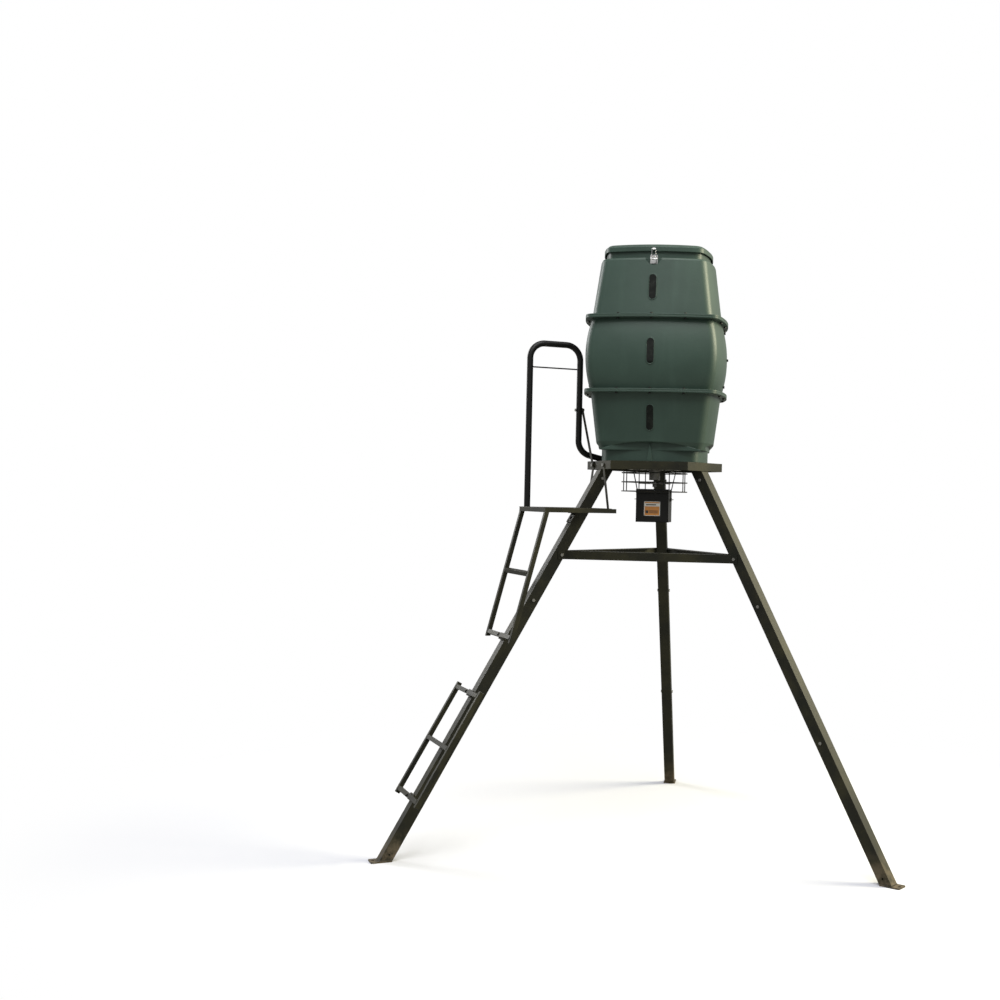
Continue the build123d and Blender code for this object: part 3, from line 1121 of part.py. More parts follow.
with BuildPart() as spout_screws:
    with BuildSketch(Plane.XY.offset(PLATE_FACE)):
        with GridLocations(2 * SPOUT_SCREW_SPREAD, 2 * SPOUT_SCREW_SPREAD, 2, 2):
            RegularPolygon(0.4 * BOLT_HEAD_FLATS, 6, major_radius=False)
    extrude(amount=-BOLT_HEAD_HEIGHT / 2)
    with Locations((0, 0, PLATE_FACE)):
        with GridLocations(2 * SPOUT_SCREW_SPREAD, 2 * SPOUT_SCREW_SPREAD, 2, 2):
            Cylinder(FLANGE_BOLT_RADIUS, OUTLET_PLATE_THICKNESS + OUTLET_BOSS_HEIGHT - 2,
                     align=(Align.CENTER, Align.CENTER, Align.MIN))
save(spout_screws, "spout_screws")

STRAP_BEND_Z = BOX_TOP - 18
STRAP_SIDE = BOX_WIDTH / 2

with BuildPart() as box_straps:
    for hand in (-1, 1):
        with BuildSketch(Plane.XZ):
            with BuildLine():
                Polyline(
                    (hand * (STRAP_TOP_HALF - 28), PLATE_FACE - STRAP_THICKNESS),
                    (hand * STRAP_TOP_HALF, PLATE_FACE - STRAP_THICKNESS),
                    (hand * STRAP_SIDE, STRAP_BEND_Z),
                    (hand * STRAP_SIDE, BOX_TOP - STRAP_LAP),
                )
                offset(amount=STRAP_THICKNESS, side=Side.RIGHT if hand < 0 else Side.LEFT,
                       kind=Kind.INTERSECTION)
            make_face()
        extrude(amount=STRAP_WIDTH / 2, both=True)
        bolt_hole(rising(0, hand * STRAP_BOLT_OUT, PLATE_FACE), STRAP_THICKNESS + 1)
        wing = facing_plane(90 - 90 * hand, BOX_WIDTH / 2 + STRAP_THICKNESS, BOX_TOP - WING_BOLT_DROP)
        bolt_hole(wing, STRAP_THICKNESS + BOX_WALL)
save(box_straps, "box_straps")

with BuildPart() as strap_bolts:
    for hand in (-1, 1):
        place = rising(0, hand * STRAP_BOLT_OUT, PLATE_FACE - STRAP_THICKNESS)
        grip = STRAP_THICKNESS + OUTLET_PLATE_THICKNESS
        bolt(Plane(origin=place.origin, x_dir=(1, 0, 0), z_dir=(0, 0, -1)), grip)
save(strap_bolts, "strap_bolts")

with BuildPart() as wing_bolts:
    for hand in (-1, 1):
        wing = facing_plane(90 - 90 * hand, BOX_WIDTH / 2 + STRAP_THICKNESS, BOX_TOP - WING_BOLT_DROP)
        with Locations(wing):
            Cylinder(BOLT_RADIUS, STRAP_THICKNESS + BOX_WALL + 5,
                     align=(Align.CENTER, Align.CENTER, Align.MAX))
            Cylinder(6.5, 5, align=(Align.CENTER, Align.CENTER, Align.MIN))
        with BuildSketch(wing.offset(2)):
            SlotOverall(30, 3.4)
        extrude(amount=10)
        hexagon(wing.offset(-STRAP_THICKNESS - BOX_WALL - 5), BOLT_HEAD_FLATS, 5)
save(wing_bolts, "wing_bolts")

CAGE_TOP = FRAME_TOP - FRAME_WALL - CAGE_ARM_THICKNESS - CAGE_ARM_WELD
CAGE_BOTTOM = CAGE_TOP - CAGE_RING_SPACING * (CAGE_RINGS - 1)
ARM_IN = CAGE_RADIUS - CAGE_WIRE
ARM_OUT = LONG_BAR_APOTHEM - FRAME_LEDGE + 18

with BuildPart() as varmint_cage:
    with BuildSketch(Plane.XZ):
        for ring in range(CAGE_RINGS):
            with Locations((CAGE_RADIUS, CAGE_BOTTOM + ring * CAGE_RING_SPACING)):
                RegularPolygon(CAGE_WIRE / 2, 8)
    revolve(axis=Axis.Z)
    with Locations((0, 0, CAGE_BOTTOM - CAGE_WIRE / 2)):
        with PolarLocations(CAGE_RADIUS - CAGE_WELD, CAGE_UPRIGHTS, start_angle=180 / CAGE_UPRIGHTS):
            Cylinder(CAGE_WIRE / 2, CAGE_TOP - CAGE_BOTTOM + CAGE_WIRE,
                     align=(Align.CENTER, Align.CENTER, Align.MIN))
    for azimuth in CAGE_ARMS:
        with BuildSketch(rising(azimuth, (ARM_IN + ARM_OUT) / 2, CAGE_TOP + CAGE_ARM_WELD)):
            Rectangle(ARM_OUT - ARM_IN, CAGE_ARM_WIDTH)
        extrude(amount=CAGE_ARM_THICKNESS)
    for azimuth in CAGE_ARMS:
        bolt_hole(cage_arm_bolt(azimuth), FRAME_WALL + CAGE_ARM_THICKNESS + 1, FLANGE_BOLT_RADIUS)
save(varmint_cage, "varmint_cage")

with BuildPart() as cage_bolts:
    for azimuth in CAGE_ARMS:
        place = cage_arm_bolt(azimuth).offset(-FRAME_WALL - CAGE_ARM_THICKNESS)
        hexagon(place, 0.8 * BOLT_HEAD_FLATS, -BOLT_HEAD_HEIGHT)
        with Locations(place):
            Cylinder(FLANGE_BOLT_RADIUS, FRAME_WALL + CAGE_ARM_THICKNESS,
                     align=(Align.CENTER, Align.CENTER, Align.MIN))
save(cage_bolts, "cage_bolts")

# Control box: folded sheet open in front, with a hood over the door.
BOX_BOTTOM = BOX_TOP - BOX_HEIGHT
BOX_FRONT = BOX_DEPTH / 2
DOOR_PIN_Z = BOX_TOP - HOOD_DROP - DOOR_PIN_RADIUS - DOOR_CURL - 1.0
DOOR_PIN_OUT = BOX_FRONT - DOOR_PIN_RADIUS - DOOR_CURL - 0.5
DOOR_HALF = BOX_WIDTH / 2 - BOX_WALL - DOOR_GAP
DOOR_PIN = (-DOOR_PIN_OUT, DOOR_PIN_Z)
CURL_RADIUS = DOOR_PIN_RADIUS + DOOR_CURL
MOTOR_TOP = BOX_TOP - BOX_WALL

with BuildPart() as control_box:
    with BuildSketch(Plane.XY.offset(BOX_BOTTOM)):
        Rectangle(BOX_WIDTH, BOX_DEPTH)
    extrude(amount=BOX_HEIGHT)
    with BuildSketch(Plane.XZ.offset(BOX_FRONT)):
        with Locations((0, BOX_BOTTOM + BOX_WALL)):
            Rectangle(BOX_WIDTH - 2 * BOX_WALL, BOX_HEIGHT - 2 * BOX_WALL, align=(Align.CENTER, Align.MIN))
    extrude(amount=-(BOX_DEPTH - BOX_WALL), mode=Mode.SUBTRACT)
    with BuildSketch(Plane.YZ):
        with BuildLine():
            Polyline((-BOX_FRONT + 2, BOX_TOP - BOX_WALL), (-BOX_FRONT - HOOD_REACH, BOX_TOP - BOX_WALL),
                     (-BOX_FRONT - HOOD_REACH, BOX_TOP - HOOD_DROP))
            offset(amount=BOX_WALL, side=Side.RIGHT, kind=Kind.INTERSECTION)
        make_face()
    extrude(amount=BOX_WIDTH / 2, both=True)
    with Locations((0, *DOOR_PIN)):
        Cylinder(DOOR_PIN_RADIUS + PIN_FIT, BOX_WIDTH, rotation=(0, 90, 0), mode=Mode.SUBTRACT)
    with Locations((0, 0, BOX_TOP)):
        Cylinder(SHAFT_RADIUS + 2, 4 * BOX_WALL, mode=Mode.SUBTRACT)
    for hand in (-1, 1):
        wing = facing_plane(90 - 90 * hand, BOX_WIDTH / 2 + STRAP_THICKNESS, BOX_TOP - WING_BOLT_DROP)
        bolt_hole(wing, STRAP_THICKNESS + BOX_WALL + 1)
save(control_box, "control_box")

with BuildPart() as box_door:
    with BuildSketch(Plane.YZ):
        with Locations((-BOX_FRONT, BOX_BOTTOM + BOX_WALL + DOOR_GAP)):
            Rectangle(BOX_WALL, DOOR_PIN_Z - BOX_BOTTOM - BOX_WALL - DOOR_GAP, align=(Align.MAX, Align.MIN))
        with Locations(DOOR_PIN):
            Circle(CURL_RADIUS)
            Rectangle(BOX_FRONT - DOOR_PIN_OUT + BOX_WALL, CURL_RADIUS, align=(Align.MAX, Align.MIN))
            Circle(DOOR_PIN_RADIUS + PIN_FIT, mode=Mode.SUBTRACT)
    extrude(amount=DOOR_HALF, both=True)
    for hand in (-1, 1):
        with BuildSketch(Plane.YZ.offset(hand * (DOOR_HALF - BOX_WALL / 2))):
            with Locations((-BOX_FRONT - BOX_WALL / 2, BOX_BOTTOM + BOX_WALL + DOOR_GAP)):
                Rectangle(DOOR_RETURN, BOX_HEIGHT / 2, align=Align.MIN)
        extrude(amount=BOX_WALL / 2, both=True)
save(box_door, "box_door")

with BuildPart() as door_pin:
    with Locations((0, *DOOR_PIN)):
        Cylinder(DOOR_PIN_RADIUS, BOX_WIDTH + 2, rotation=(0, 90, 0))
save(door_pin, "door_pin")

with BuildPart() as label_plate:
    with BuildSketch(Plane.XZ.offset(BOX_FRONT + BOX_WALL)):
        with Locations((0, BOX_BOTTOM + BOX_HEIGHT / 2 - 14)):
            RectangleRounded(LABEL_WIDTH, LABEL_HEIGHT, 4)
    extrude(amount=LABEL_THICKNESS)
save(label_plate, "label_plate")

with BuildPart() as motor:
    with Locations((0, 0, MOTOR_TOP)):
        Cylinder(MOTOR_RADIUS, MOTOR_LENGTH, align=(Align.CENTER, Align.CENTER, Align.MAX))
    with Locations((0, 0, MOTOR_TOP)):
        Cylinder(SHAFT_RADIUS + PIN_FIT, 2 * MOTOR_LENGTH - 20, mode=Mode.SUBTRACT)
save(motor, "motor")

with BuildPart() as spinner:
    with Locations((0, 0, SPINNER_FACE)):
        Cylinder(SPINNER_RADIUS, SPINNER_THICKNESS, align=(Align.CENTER, Align.CENTER, Align.MAX))
        Cylinder(9, 16, align=(Align.CENTER, Align.CENTER, Align.MAX))
    with PolarLocations(0, 4):
        with Locations((SPINNER_RADIUS * 0.62, 0, SPINNER_FACE - SPINNER_THICKNESS / 2)):
            Box(SPINNER_RADIUS * 0.7, SPINNER_THICKNESS, FIN_HEIGHT + SPINNER_THICKNESS / 2,
                align=(Align.CENTER, Align.CENTER, Align.MIN))
    with Locations((0, 0, SPINNER_FACE)):
        Cylinder(SHAFT_RADIUS, SPINNER_FACE - MOTOR_TOP + MOTOR_LENGTH - 24,
                 align=(Align.CENTER, Align.CENTER, Align.MAX))
save(spinner, "spinner")

BOX_FLOOR = BOX_BOTTOM + BOX_WALL

with BuildPart() as battery:
    with Locations((0, BOX_DEPTH / 2 - BOX_WALL - BATTERY[1] / 2 - 0.3, BOX_FLOOR)):
        Box(*BATTERY, align=(Align.CENTER, Align.CENTER, Align.MIN))
    fillet(battery.edges().filter_by(Axis.Z), 4)
    with Locations((0, BOX_DEPTH / 2 - BOX_WALL - BATTERY[1] / 2 - 0.3, BOX_FLOOR + BATTERY[2])):
        with GridLocations(60, 0, 2, 1):
            Box(6, 6, 6, align=(Align.CENTER, Align.CENTER, Align.MIN))
save(battery, "battery")

with BuildPart() as timer:
    with Locations((0, -BOX_FRONT + 34, BOX_FLOOR)):
        Box(*TIMER, align=(Align.CENTER, Align.CENTER, Align.MIN))
    with BuildSketch(Plane.XZ.offset(BOX_FRONT - 34 + TIMER[1] / 2)):
        with Locations((0, BOX_FLOOR + TIMER[2] / 2 + 8)):
            Rectangle(60, 24)
    extrude(amount=-2, mode=Mode.SUBTRACT)
    with BuildSketch(Plane.XZ.offset(BOX_FRONT - 34 + TIMER[1] / 2)):
        with Locations((0, BOX_FLOOR + 16)):
            with GridLocations(20, 0, 4, 1):
                Circle(4)
    extrude(amount=2)
save(timer, "timer")
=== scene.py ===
"""Dresses the tripod game feeder: finishes for every solid, weld beads, rivets, tube
plugs, camera, lights and floor."""

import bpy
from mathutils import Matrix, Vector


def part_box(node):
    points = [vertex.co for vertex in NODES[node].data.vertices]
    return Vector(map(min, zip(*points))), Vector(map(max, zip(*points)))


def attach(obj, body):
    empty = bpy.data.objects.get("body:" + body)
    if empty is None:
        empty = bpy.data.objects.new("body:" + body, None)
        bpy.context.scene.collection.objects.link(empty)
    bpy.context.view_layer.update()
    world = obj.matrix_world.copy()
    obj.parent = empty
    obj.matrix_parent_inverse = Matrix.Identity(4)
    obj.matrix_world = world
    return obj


bl_info = {
    "name": "Tripod Game Feeder",
    "version": (1, 0, 0),
    "blender": (4, 5, 0),
    "location": "View3D > Sidebar > Feeder",
    "description": "Dresses a tripod game feeder with ladder, platform, hopper and spin-cast unit",
    "category": "Object",
}

from math import cos, radians, sin, tan

import bmesh
import bpy
from bpy.props import FloatProperty, FloatVectorProperty, PointerProperty
from mathutils import Matrix, Vector

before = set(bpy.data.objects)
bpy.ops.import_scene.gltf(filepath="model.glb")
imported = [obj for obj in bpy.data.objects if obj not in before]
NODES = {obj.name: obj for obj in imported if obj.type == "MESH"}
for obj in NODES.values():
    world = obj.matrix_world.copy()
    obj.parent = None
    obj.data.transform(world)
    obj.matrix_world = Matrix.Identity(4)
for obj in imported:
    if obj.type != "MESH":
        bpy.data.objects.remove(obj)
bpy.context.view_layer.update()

LEG_AZIMUTH = {"left": 210.0, "right": 330.0, "rear": 90.0}
LEG_SLOPE = radians(60.0)
FOOT_RADIUS = 1.232
LEG_TUBE = 0.0508
BAR = 0.019
LADDER_STANDOFF = 0.012
PLATFORM_HEIGHT = 1.514
PLATFORM_HALF_WIDTH = 0.174
PLATFORM_OUTER = 0.598
LADDER_PROUD = LEG_TUBE / 2 + LADDER_STANDOFF + BAR / 2   # leg axis to a rung's axis
RUNG_HEIGHTS = (0.956, 0.710, 0.491, 0.272)     # the upper ladder's foot, then the lower ladder's three
LOWER_RAIL_ENDS = (RUNG_HEIGHTS[1], RUNG_HEIGHTS[-1])
RAIL_TAIL = 0.020          # a rail past its end rung
FOOT_WELD_HEIGHT = 0.0075
FOOT_CUT = 1.15            # a leg's sloping cut at the foot, to its tube's width


def polar(azimuth, out, side=0.0, height=0.0):
    """Point at a distance out along an azimuth in degrees, and to the left of it."""
    a = radians(azimuth)
    return Vector((out * cos(a) - side * sin(a), out * sin(a) + side * cos(a), height))


def colour(name, description, default):
    return FloatVectorProperty(name=name, description=description, default=default, subtype="COLOR", size=3,
                               min=0.0, max=1.0)


def amount(name, description, default):
    return FloatProperty(name=name, description=description, default=default, subtype="FACTOR", min=0.0,
                         max=1.0)


def length(name, description, default):
    return FloatProperty(name=name, description=description, default=default, subtype="DISTANCE",
                         unit="LENGTH", min=0.0)


def watts(name, description, default):
    return FloatProperty(name=name, description=description, default=default, unit="POWER", min=0.0)


# ---- Sizes and colours ----------------------------------------------------------------------

class FeederHopperLooks(bpy.types.PropertyGroup):
    green: colour("Green", "Moulded colour of the hopper", (0.027, 0.053, 0.040))
    # Also painted highlight: the hopper's edges are painted paler towards this colour
    bleach_and_highlight: colour("Chalk", "Colour that sun bleaches the plastic towards", (0.066, 0.118, 0.090))
    grain: length("Grain depth", "Depth of the mould's fine texture", 0.00035)
    dust: amount("Dust", "Dust lying on the flanges and lid", 0.12)
    # The windows' near-black colour is painted shade: the dark inside of the hopper, painted onto opaque
    # plastic
    window: colour("Window", "Tint of the smoked feed windows", (0.004, 0.0058, 0.0046))


class FeederSteelLooks(bpy.types.PropertyGroup):
    bronze: colour("Bronze", "Powder coat of the legs, ladders, platform and rail", (0.0085, 0.0095, 0.0075))
    sheen: colour("Sheen", "Paler coat where the light catches edges and thin spots", (0.075, 0.068, 0.028))
    flake: colour("Flake", "Tint that the bronze coat's metal flake gives its gloss", (1.0, 0.97, 0.82))
    bare: colour("Bare steel", "Steel showing at rubbed edges", (0.22, 0.20, 0.16))
    wear: amount("Wear", "How far the coat is rubbed off the edges", 0.45)
    black: colour("Black", "Coat of the control box, straps and cage", (0.007, 0.007, 0.0065))


class FeederHardwareLooks(bpy.types.PropertyGroup):
    zinc: colour("Zinc", "Plated bolts, screws, spinner and outlet", (0.36, 0.355, 0.33))
    blackened: colour("Blackened", "Oxide-blackened bolts of the hopper and cage", (0.045, 0.044, 0.042))
    chrome: colour("Chrome", "Plated draw latch", (0.76, 0.76, 0.75))
    label_ground: colour("Label ground", "Main field of the plate on the door", (0.72, 0.285, 0.050))
    label_band: colour("Label band", "Pale band across the plate", (0.86, 0.84, 0.78))
    label_ink: colour("Label ink", "Dark bars and border of the plate", (0.018, 0.016, 0.014))


class FeederDetailLooks(bpy.types.PropertyGroup):
    bead: length("Weld bead", "Width of a weld bead", 0.0046)
    ripple: length("Weld ripple", "Spacing of a bead's ripples", 0.0034)
    plug: length("Tube plug", "Height of the plastic plug in an open tube end", 0.0022)
    rivet: length("Rivet", "Diameter of a rivet in the door's plate", 0.0044)


class FeederStageLooks(bpy.types.PropertyGroup):
    backdrop: colour("Backdrop", "Colour behind the feeder", (1.0, 1.0, 1.0))
    floor: colour("Floor", "Colour of the floor close to the feet", (0.70, 0.71, 0.76))
    bounce: colour("Bounce", "Colour that the floor throws back up on the feeder", (0.30, 0.30, 0.29))
    sky: FloatProperty(name="Sky", description="Strength of the even light from all round", default=0.48,
                       min=0.0)
    warmth: colour("Warmth", "Colour of the large lamp", (1.0, 0.94, 0.68))
    key: watts("Key", "Power of the large lamp, high on the right", 680.0)
    overhead: watts("Overhead", "Power of the lamp above", 330.0)
    rim: watts("Rim", "Power of the lamp behind, on the left", 200.0)


# ---- Shader maths ---------------------------------------------------------------------------

MIX_FACTOR, MIX_FIRST, MIX_SECOND = 0, 6, 7     # inputs of a mix node that is set to colours
MIX_COLOUR = 2                                  # its output
EDGE_TURN = (0.01, 0.25)                        # 1 less the cosine of the turn: where it counts, and fully


class Field:
    """A number that varies over a surface, so that finishes are written as sums."""

    def __init__(self, finish, socket):
        self.finish, self.socket = finish, socket

    def maths(self, operation, *values):
        return self.finish.node("ShaderNodeMath", {"operation": operation}, dict(enumerate(values)))

    def __add__(self, other):
        return self.maths("ADD", self, other)

    def __sub__(self, other):
        return self.maths("SUBTRACT", self, other)

    def __rsub__(self, other):
        return self.maths("SUBTRACT", other, self)

    def __mul__(self, other):
        return self.maths("MULTIPLY", self, other)

    def __gt__(self, other):
        return self.maths("GREATER_THAN", self, other)

    def __lt__(self, other):
        return self.maths("LESS_THAN", self, other)

    def __abs__(self):
        return self.maths("ABSOLUTE", self)

    def ramp(self, low, high):
        """0 below low, 1 above high, smooth between."""
        return self.finish.node("ShaderNodeMapRange", {"interpolation_type": "SMOOTHSTEP"},
                                {"Value": self, "From Min": low, "From Max": high})

    __radd__ = __add__


class Finish:
    """A material under construction: one Principled shader and the nodes that feed it."""

    def __init__(self, name, **sockets):
        self.material = bpy.data.materials.new(name)
        self.material.use_nodes = True
        self.tree = self.material.node_tree
        self.shader = self.tree.nodes["Principled BSDF"]
        self.place = self.node("ShaderNodeTexCoord", {}, {}, "Object")
        self.facing = self.node("ShaderNodeNewGeometry", {}, {}, "Normal")
        self.set(**{key.replace("_", " "): value for key, value in sockets.items()})

    def node(self, kind, settings, inputs, output=0):
        node = self.tree.nodes.new(kind)
        for key, value in settings.items():
            setattr(node, key, value)
        for key, value in inputs.items():
            self.join(value, node.inputs[key])
        return Field(self, node.outputs[output])

    def join(self, value, socket):
        if isinstance(value, Field):
            self.tree.links.new(value.socket, socket)
        elif socket.type == "RGBA" and len(value) == 3:
            socket.default_value = (*value, 1.0)
        else:
            socket.default_value = value

    def set(self, **sockets):
        for key, value in sockets.items():
            self.join(value, self.shader.inputs[key])

    def split(self, vector):
        """The three parts of a vector."""
        node = self.node("ShaderNodeSeparateXYZ", {}, {0: vector}).socket.node
        return [Field(self, socket) for socket in node.outputs]

    def stretch(self, scale, shift=(0.0, 0.0, 0.0)):
        """The piece's own coordinates, stretched and then moved."""
        return self.node("ShaderNodeMapping", {}, {"Vector": self.place, "Scale": scale, "Location": shift})

    def noise(self, scale, detail, roughness=0.5, place=None):
        return self.node("ShaderNodeTexNoise", {}, {"Vector": place or self.place, "Scale": scale,
                                                    "Detail": detail, "Roughness": roughness})

    def cells(self, scale, place=None):
        return self.node("ShaderNodeTexVoronoi", {}, {"Vector": place or self.place, "Scale": scale})

    def mix(self, factor, first, second):
        node = self.tree.nodes.new("ShaderNodeMix")
        node.data_type = "RGBA"
        for value, socket in ((factor, MIX_FACTOR), (first, MIX_FIRST), (second, MIX_SECOND)):
            self.join(value, node.inputs[socket])
        return Field(self, node.outputs[MIX_COLOUR])

    def rounded(self, radius):
        """The surface's normal, with edges rounded off within radius."""
        return self.node("ShaderNodeBevel", {"samples": 4}, {"Radius": radius})

    def edges(self, rounded):
        """Where the rounded normal leaves the surface's own: 0 on flats, 1 on edges."""
        along = self.node("ShaderNodeVectorMath", {"operation": "DOT_PRODUCT"},
                          {0: rounded, 1: self.facing}, "Value")
        return (1.0 - along).ramp(*EDGE_TURN)

    def relief(self, height, distance, under=None):
        bump = {"Height": height, "Distance": distance}
        if under is not None:
            bump["Normal"] = under
        self.set(Normal=self.node("ShaderNodeBump", {}, bump))

    def on(self, *pieces):
        """Puts the finish on CAD nodes, by name, or on pieces."""
        for piece in pieces:
            target = NODES[piece] if isinstance(piece, str) else piece
            target.data.materials.clear()
            target.data.materials.append(self.material)


# ---- Finishes -------------------------------------------------------------------------------

DUST = (0.30, 0.30, 0.25)
SCUFF = (0.17, 0.21, 0.17)
WINDOW_FILM = (0.050, 0.058, 0.046)
SOIL = (0.19, 0.15, 0.10)
SOIL_TOP = 0.16                      # height that soil splashes to
LABEL_SHADE = (0.58, 0.18, 0.025)
LABEL_WORN = (0.42, 0.38, 0.32)
DISPLAY = (0.26, 0.31, 0.22)
DIGITS = (0.03, 0.04, 0.03)
BUTTONS = (0.38, 0.37, 0.34)

# The plate's artwork, in parts of its half width and half height
LABEL_BORDER = (0.93, 0.93)
LABEL_INNER_LINE = (0.86, 0.87)
LABEL_BAND = (0.30, 0.72)
LABEL_BARS = (                       # middle across and up, half width and half height
    (-0.12, 0.51, 0.58, 0.07),
    (0.18, -0.28, 0.52, 0.035),
    (0.18, -0.42, 0.52, 0.035),
    (0.18, -0.56, 0.52, 0.035),
    (-0.60, -0.42, 0.17, 0.19),
)

# The timer's face
FACE_DEPTH = 0.0045
DISPLAY_RISE = 0.008                 # above the case's middle
DISPLAY_HALF_WIDTH = 0.030
DISPLAY_HALF_HEIGHT = 0.012
BUTTON_DEPTH = 0.0005
BUTTON_TOP = 0.022


def roto_moulded_green(looks):
    """Roto-moulded plastic: orange-peel grain, sun-bleached patches, a painted highlight on the edges,
    scuffs, dust on what faces up, and the mould's parting line across the middle."""
    made = Finish("roto_moulded_green", Specular_IOR_Level=0.42)
    rounded = made.rounded(0.005)
    edge = made.edges(rounded)
    up = made.split(rounded)[2]
    broad = made.noise(2.2, 4.0)
    streaks = made.noise(9.0, 4.0, 0.6, made.stretch((1.0, 1.0, 0.09)))
    speck = made.noise(420.0, 2.0)
    bleached = broad.ramp(0.35, 0.75) * 0.35 + streaks.ramp(0.5, 0.75) * 0.22
    green = made.mix(bleached, looks.green, looks.bleach_and_highlight)
    # Painted highlight: the edges are painted paler, towards the bleached colour
    green = made.mix(edge * 0.35, green, looks.bleach_and_highlight)
    dusty = up.ramp(0.55, 0.95) * made.noise(24.0, 6.0, 0.7).ramp(0.25, 0.8) * looks.dust
    green = made.mix(dusty, green, DUST)
    scuffs = made.noise(60.0, 6.0, 0.7, made.stretch((1.0, 1.0, 0.25))).ramp(0.68, 0.74) * 0.25
    made.set(**{"Base Color": made.mix(scuffs, green, SCUFF),
                "Roughness": 0.36 + broad * 0.10 + speck * 0.10 + dusty * 0.3})
    parting = 1.0 - abs(made.split(made.place)[1]).ramp(0.0006, 0.0014)
    grain = speck * 0.5 + made.noise(150.0, 2.0) * 0.5 + made.noise(16.0, 2.0) * 1.6
    made.relief(grain + parting * 1.5, looks.grain, under=rounded)
    return made


def smoked_window(looks):
    """Window plastic painted near-black as painted shade of the hopper's dark inside, too dark to see the
    feed through, with a patchy film of dust and upright scratches.
    """
    made = Finish("smoked_window", IOR=1.49, Specular_IOR_Level=0.32)
    film = made.noise(38.0, 5.0, 0.65).ramp(0.42, 0.72)
    scratches = made.noise(220.0, 3.0, 0.6, made.stretch((1.0, 1.0, 0.05))).ramp(0.6, 0.75)
    # Painted shade: the near-black window colour stands for the hopper's dark inside
    made.set(**{"Base Color": made.mix(film * 0.2 + scratches * 0.08, looks.window, WINDOW_FILM),
                "Roughness": 0.07 + film * 0.16, "Coat Weight": 0.12})
    return made


def powder_coat(name, looks, base, sheen, wear=1.0, gloss=0.40, flake=(1.0, 1.0, 1.0)):
    """Powder coat on steel: orange peel, thin spots, rubbed edges, soil low down, and a gloss that
    its flake tints."""
    made = Finish(name, Specular_IOR_Level=0.30, Specular_Tint=flake)
    rounded = made.rounded(0.0016)
    edge = made.edges(rounded)
    cloud = made.noise(5.5, 5.0, 0.6)
    fleck = made.noise(85.0, 5.0, 0.7)
    coat = made.mix(cloud.ramp(0.38, 0.72) * 0.28 + fleck.ramp(0.55, 0.72) * 0.2, base, sheen)
    height = made.split(made.place)[2]
    soil = (1.0 - height.ramp(0.0, SOIL_TOP)) * made.noise(26.0, 5.0, 0.7).ramp(0.3, 0.65)
    coat = made.mix(soil * 0.75, coat, SOIL)
    chips = edge * (fleck.ramp(0.48, 0.62) * wear * looks.wear)
    made.set(**{"Base Color": made.mix(chips, coat, looks.bare), "Metallic": chips * 0.9,
                "Roughness": gloss + cloud * 0.16 + soil * 0.3})
    made.relief(made.noise(700.0, 2.0), distance=0.00012, under=rounded)
    return made


def shaded(tone, share):
    """A colour at a share of its brightness."""
    return tuple(share * part for part in tone)


def bright_plate(name, plate, roughness, spangle=0.0):
    """Plated, blackened or bare metal with dull spots, and the faint spangle of zinc where it has one."""
    made = Finish(name, Metallic=1.0)
    patch = made.cells(160.0) * spangle
    dull = made.noise(45.0, 5.0, 0.65).ramp(0.45, 0.75)
    made.set(**{"Base Color": made.mix(dull * 0.4 + patch, plate, shaded(plate, 0.55)),
                "Roughness": roughness + dull * 0.16 + patch * 0.2})
    made.relief(made.noise(320.0, 3.0), distance=0.00004, under=made.rounded(0.0008))
    return made


def door_label(looks):
    """Weatherproof plate: framed field, a pale band and plain dark bars in place of print."""
    made = Finish("door_label", Coat_Weight=0.7, Coat_Roughness=0.18)
    low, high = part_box("label_plate")
    middle, size = (low + high) / 2, high - low
    across, _, up = made.split(made.stretch((2 / size.x, 1.0, 2 / size.z),
                                            shift=(-2 * middle.x / size.x, 0.0, -2 * middle.z / size.z)))
    border, inner_line = [((abs(across) > wide) + (abs(up) > high_up)).ramp(0.0, 0.5)
                          for wide, high_up in (LABEL_BORDER, LABEL_INNER_LINE)]
    band = (up > LABEL_BAND[0]) * (up < LABEL_BAND[1])
    bars = sum((abs(across - x) < half_x) * (abs(up - z) < half_z) for x, z, half_x, half_z in LABEL_BARS)
    shade = made.noise(55.0, 4.0).ramp(0.35, 0.75)
    field = made.mix(shade * 0.25, looks.label_ground, LABEL_SHADE)
    field = made.mix(band, field, looks.label_band)
    field = made.mix(bars.ramp(0.0, 0.5), field, looks.label_ink)
    field = made.mix(inner_line, field, looks.label_band)
    field = made.mix(border, field, looks.label_ink)
    worn = made.noise(130.0, 6.0, 0.7).ramp(0.64, 0.72) * 0.5
    made.set(**{"Base Color": made.mix(worn, field, LABEL_WORN), "Roughness": 0.34 + worn * 0.3})
    return made


def moulded_black(name, shade, roughness=0.42):
    """Injection-moulded plastic: fine texture with a slightly dusty bloom, and a painted highlight on its
    edges.
    """
    made = Finish(name)
    rounded = made.rounded(0.0014)
    edge = made.edges(rounded)
    bloom = made.noise(30.0, 4.0, 0.6).ramp(0.4, 0.75)
    pale = tuple(part * 2.6 + 0.02 for part in shade)
    # Dusty bloom at random, and painted highlight: the edges are painted paler
    made.set(**{"Base Color": made.mix(bloom * 0.35 + edge * 0.2, shade, pale),
                "Roughness": roughness + bloom * 0.12})
    made.relief(made.noise(900.0, 2.0), distance=0.00008, under=rounded)
    return made


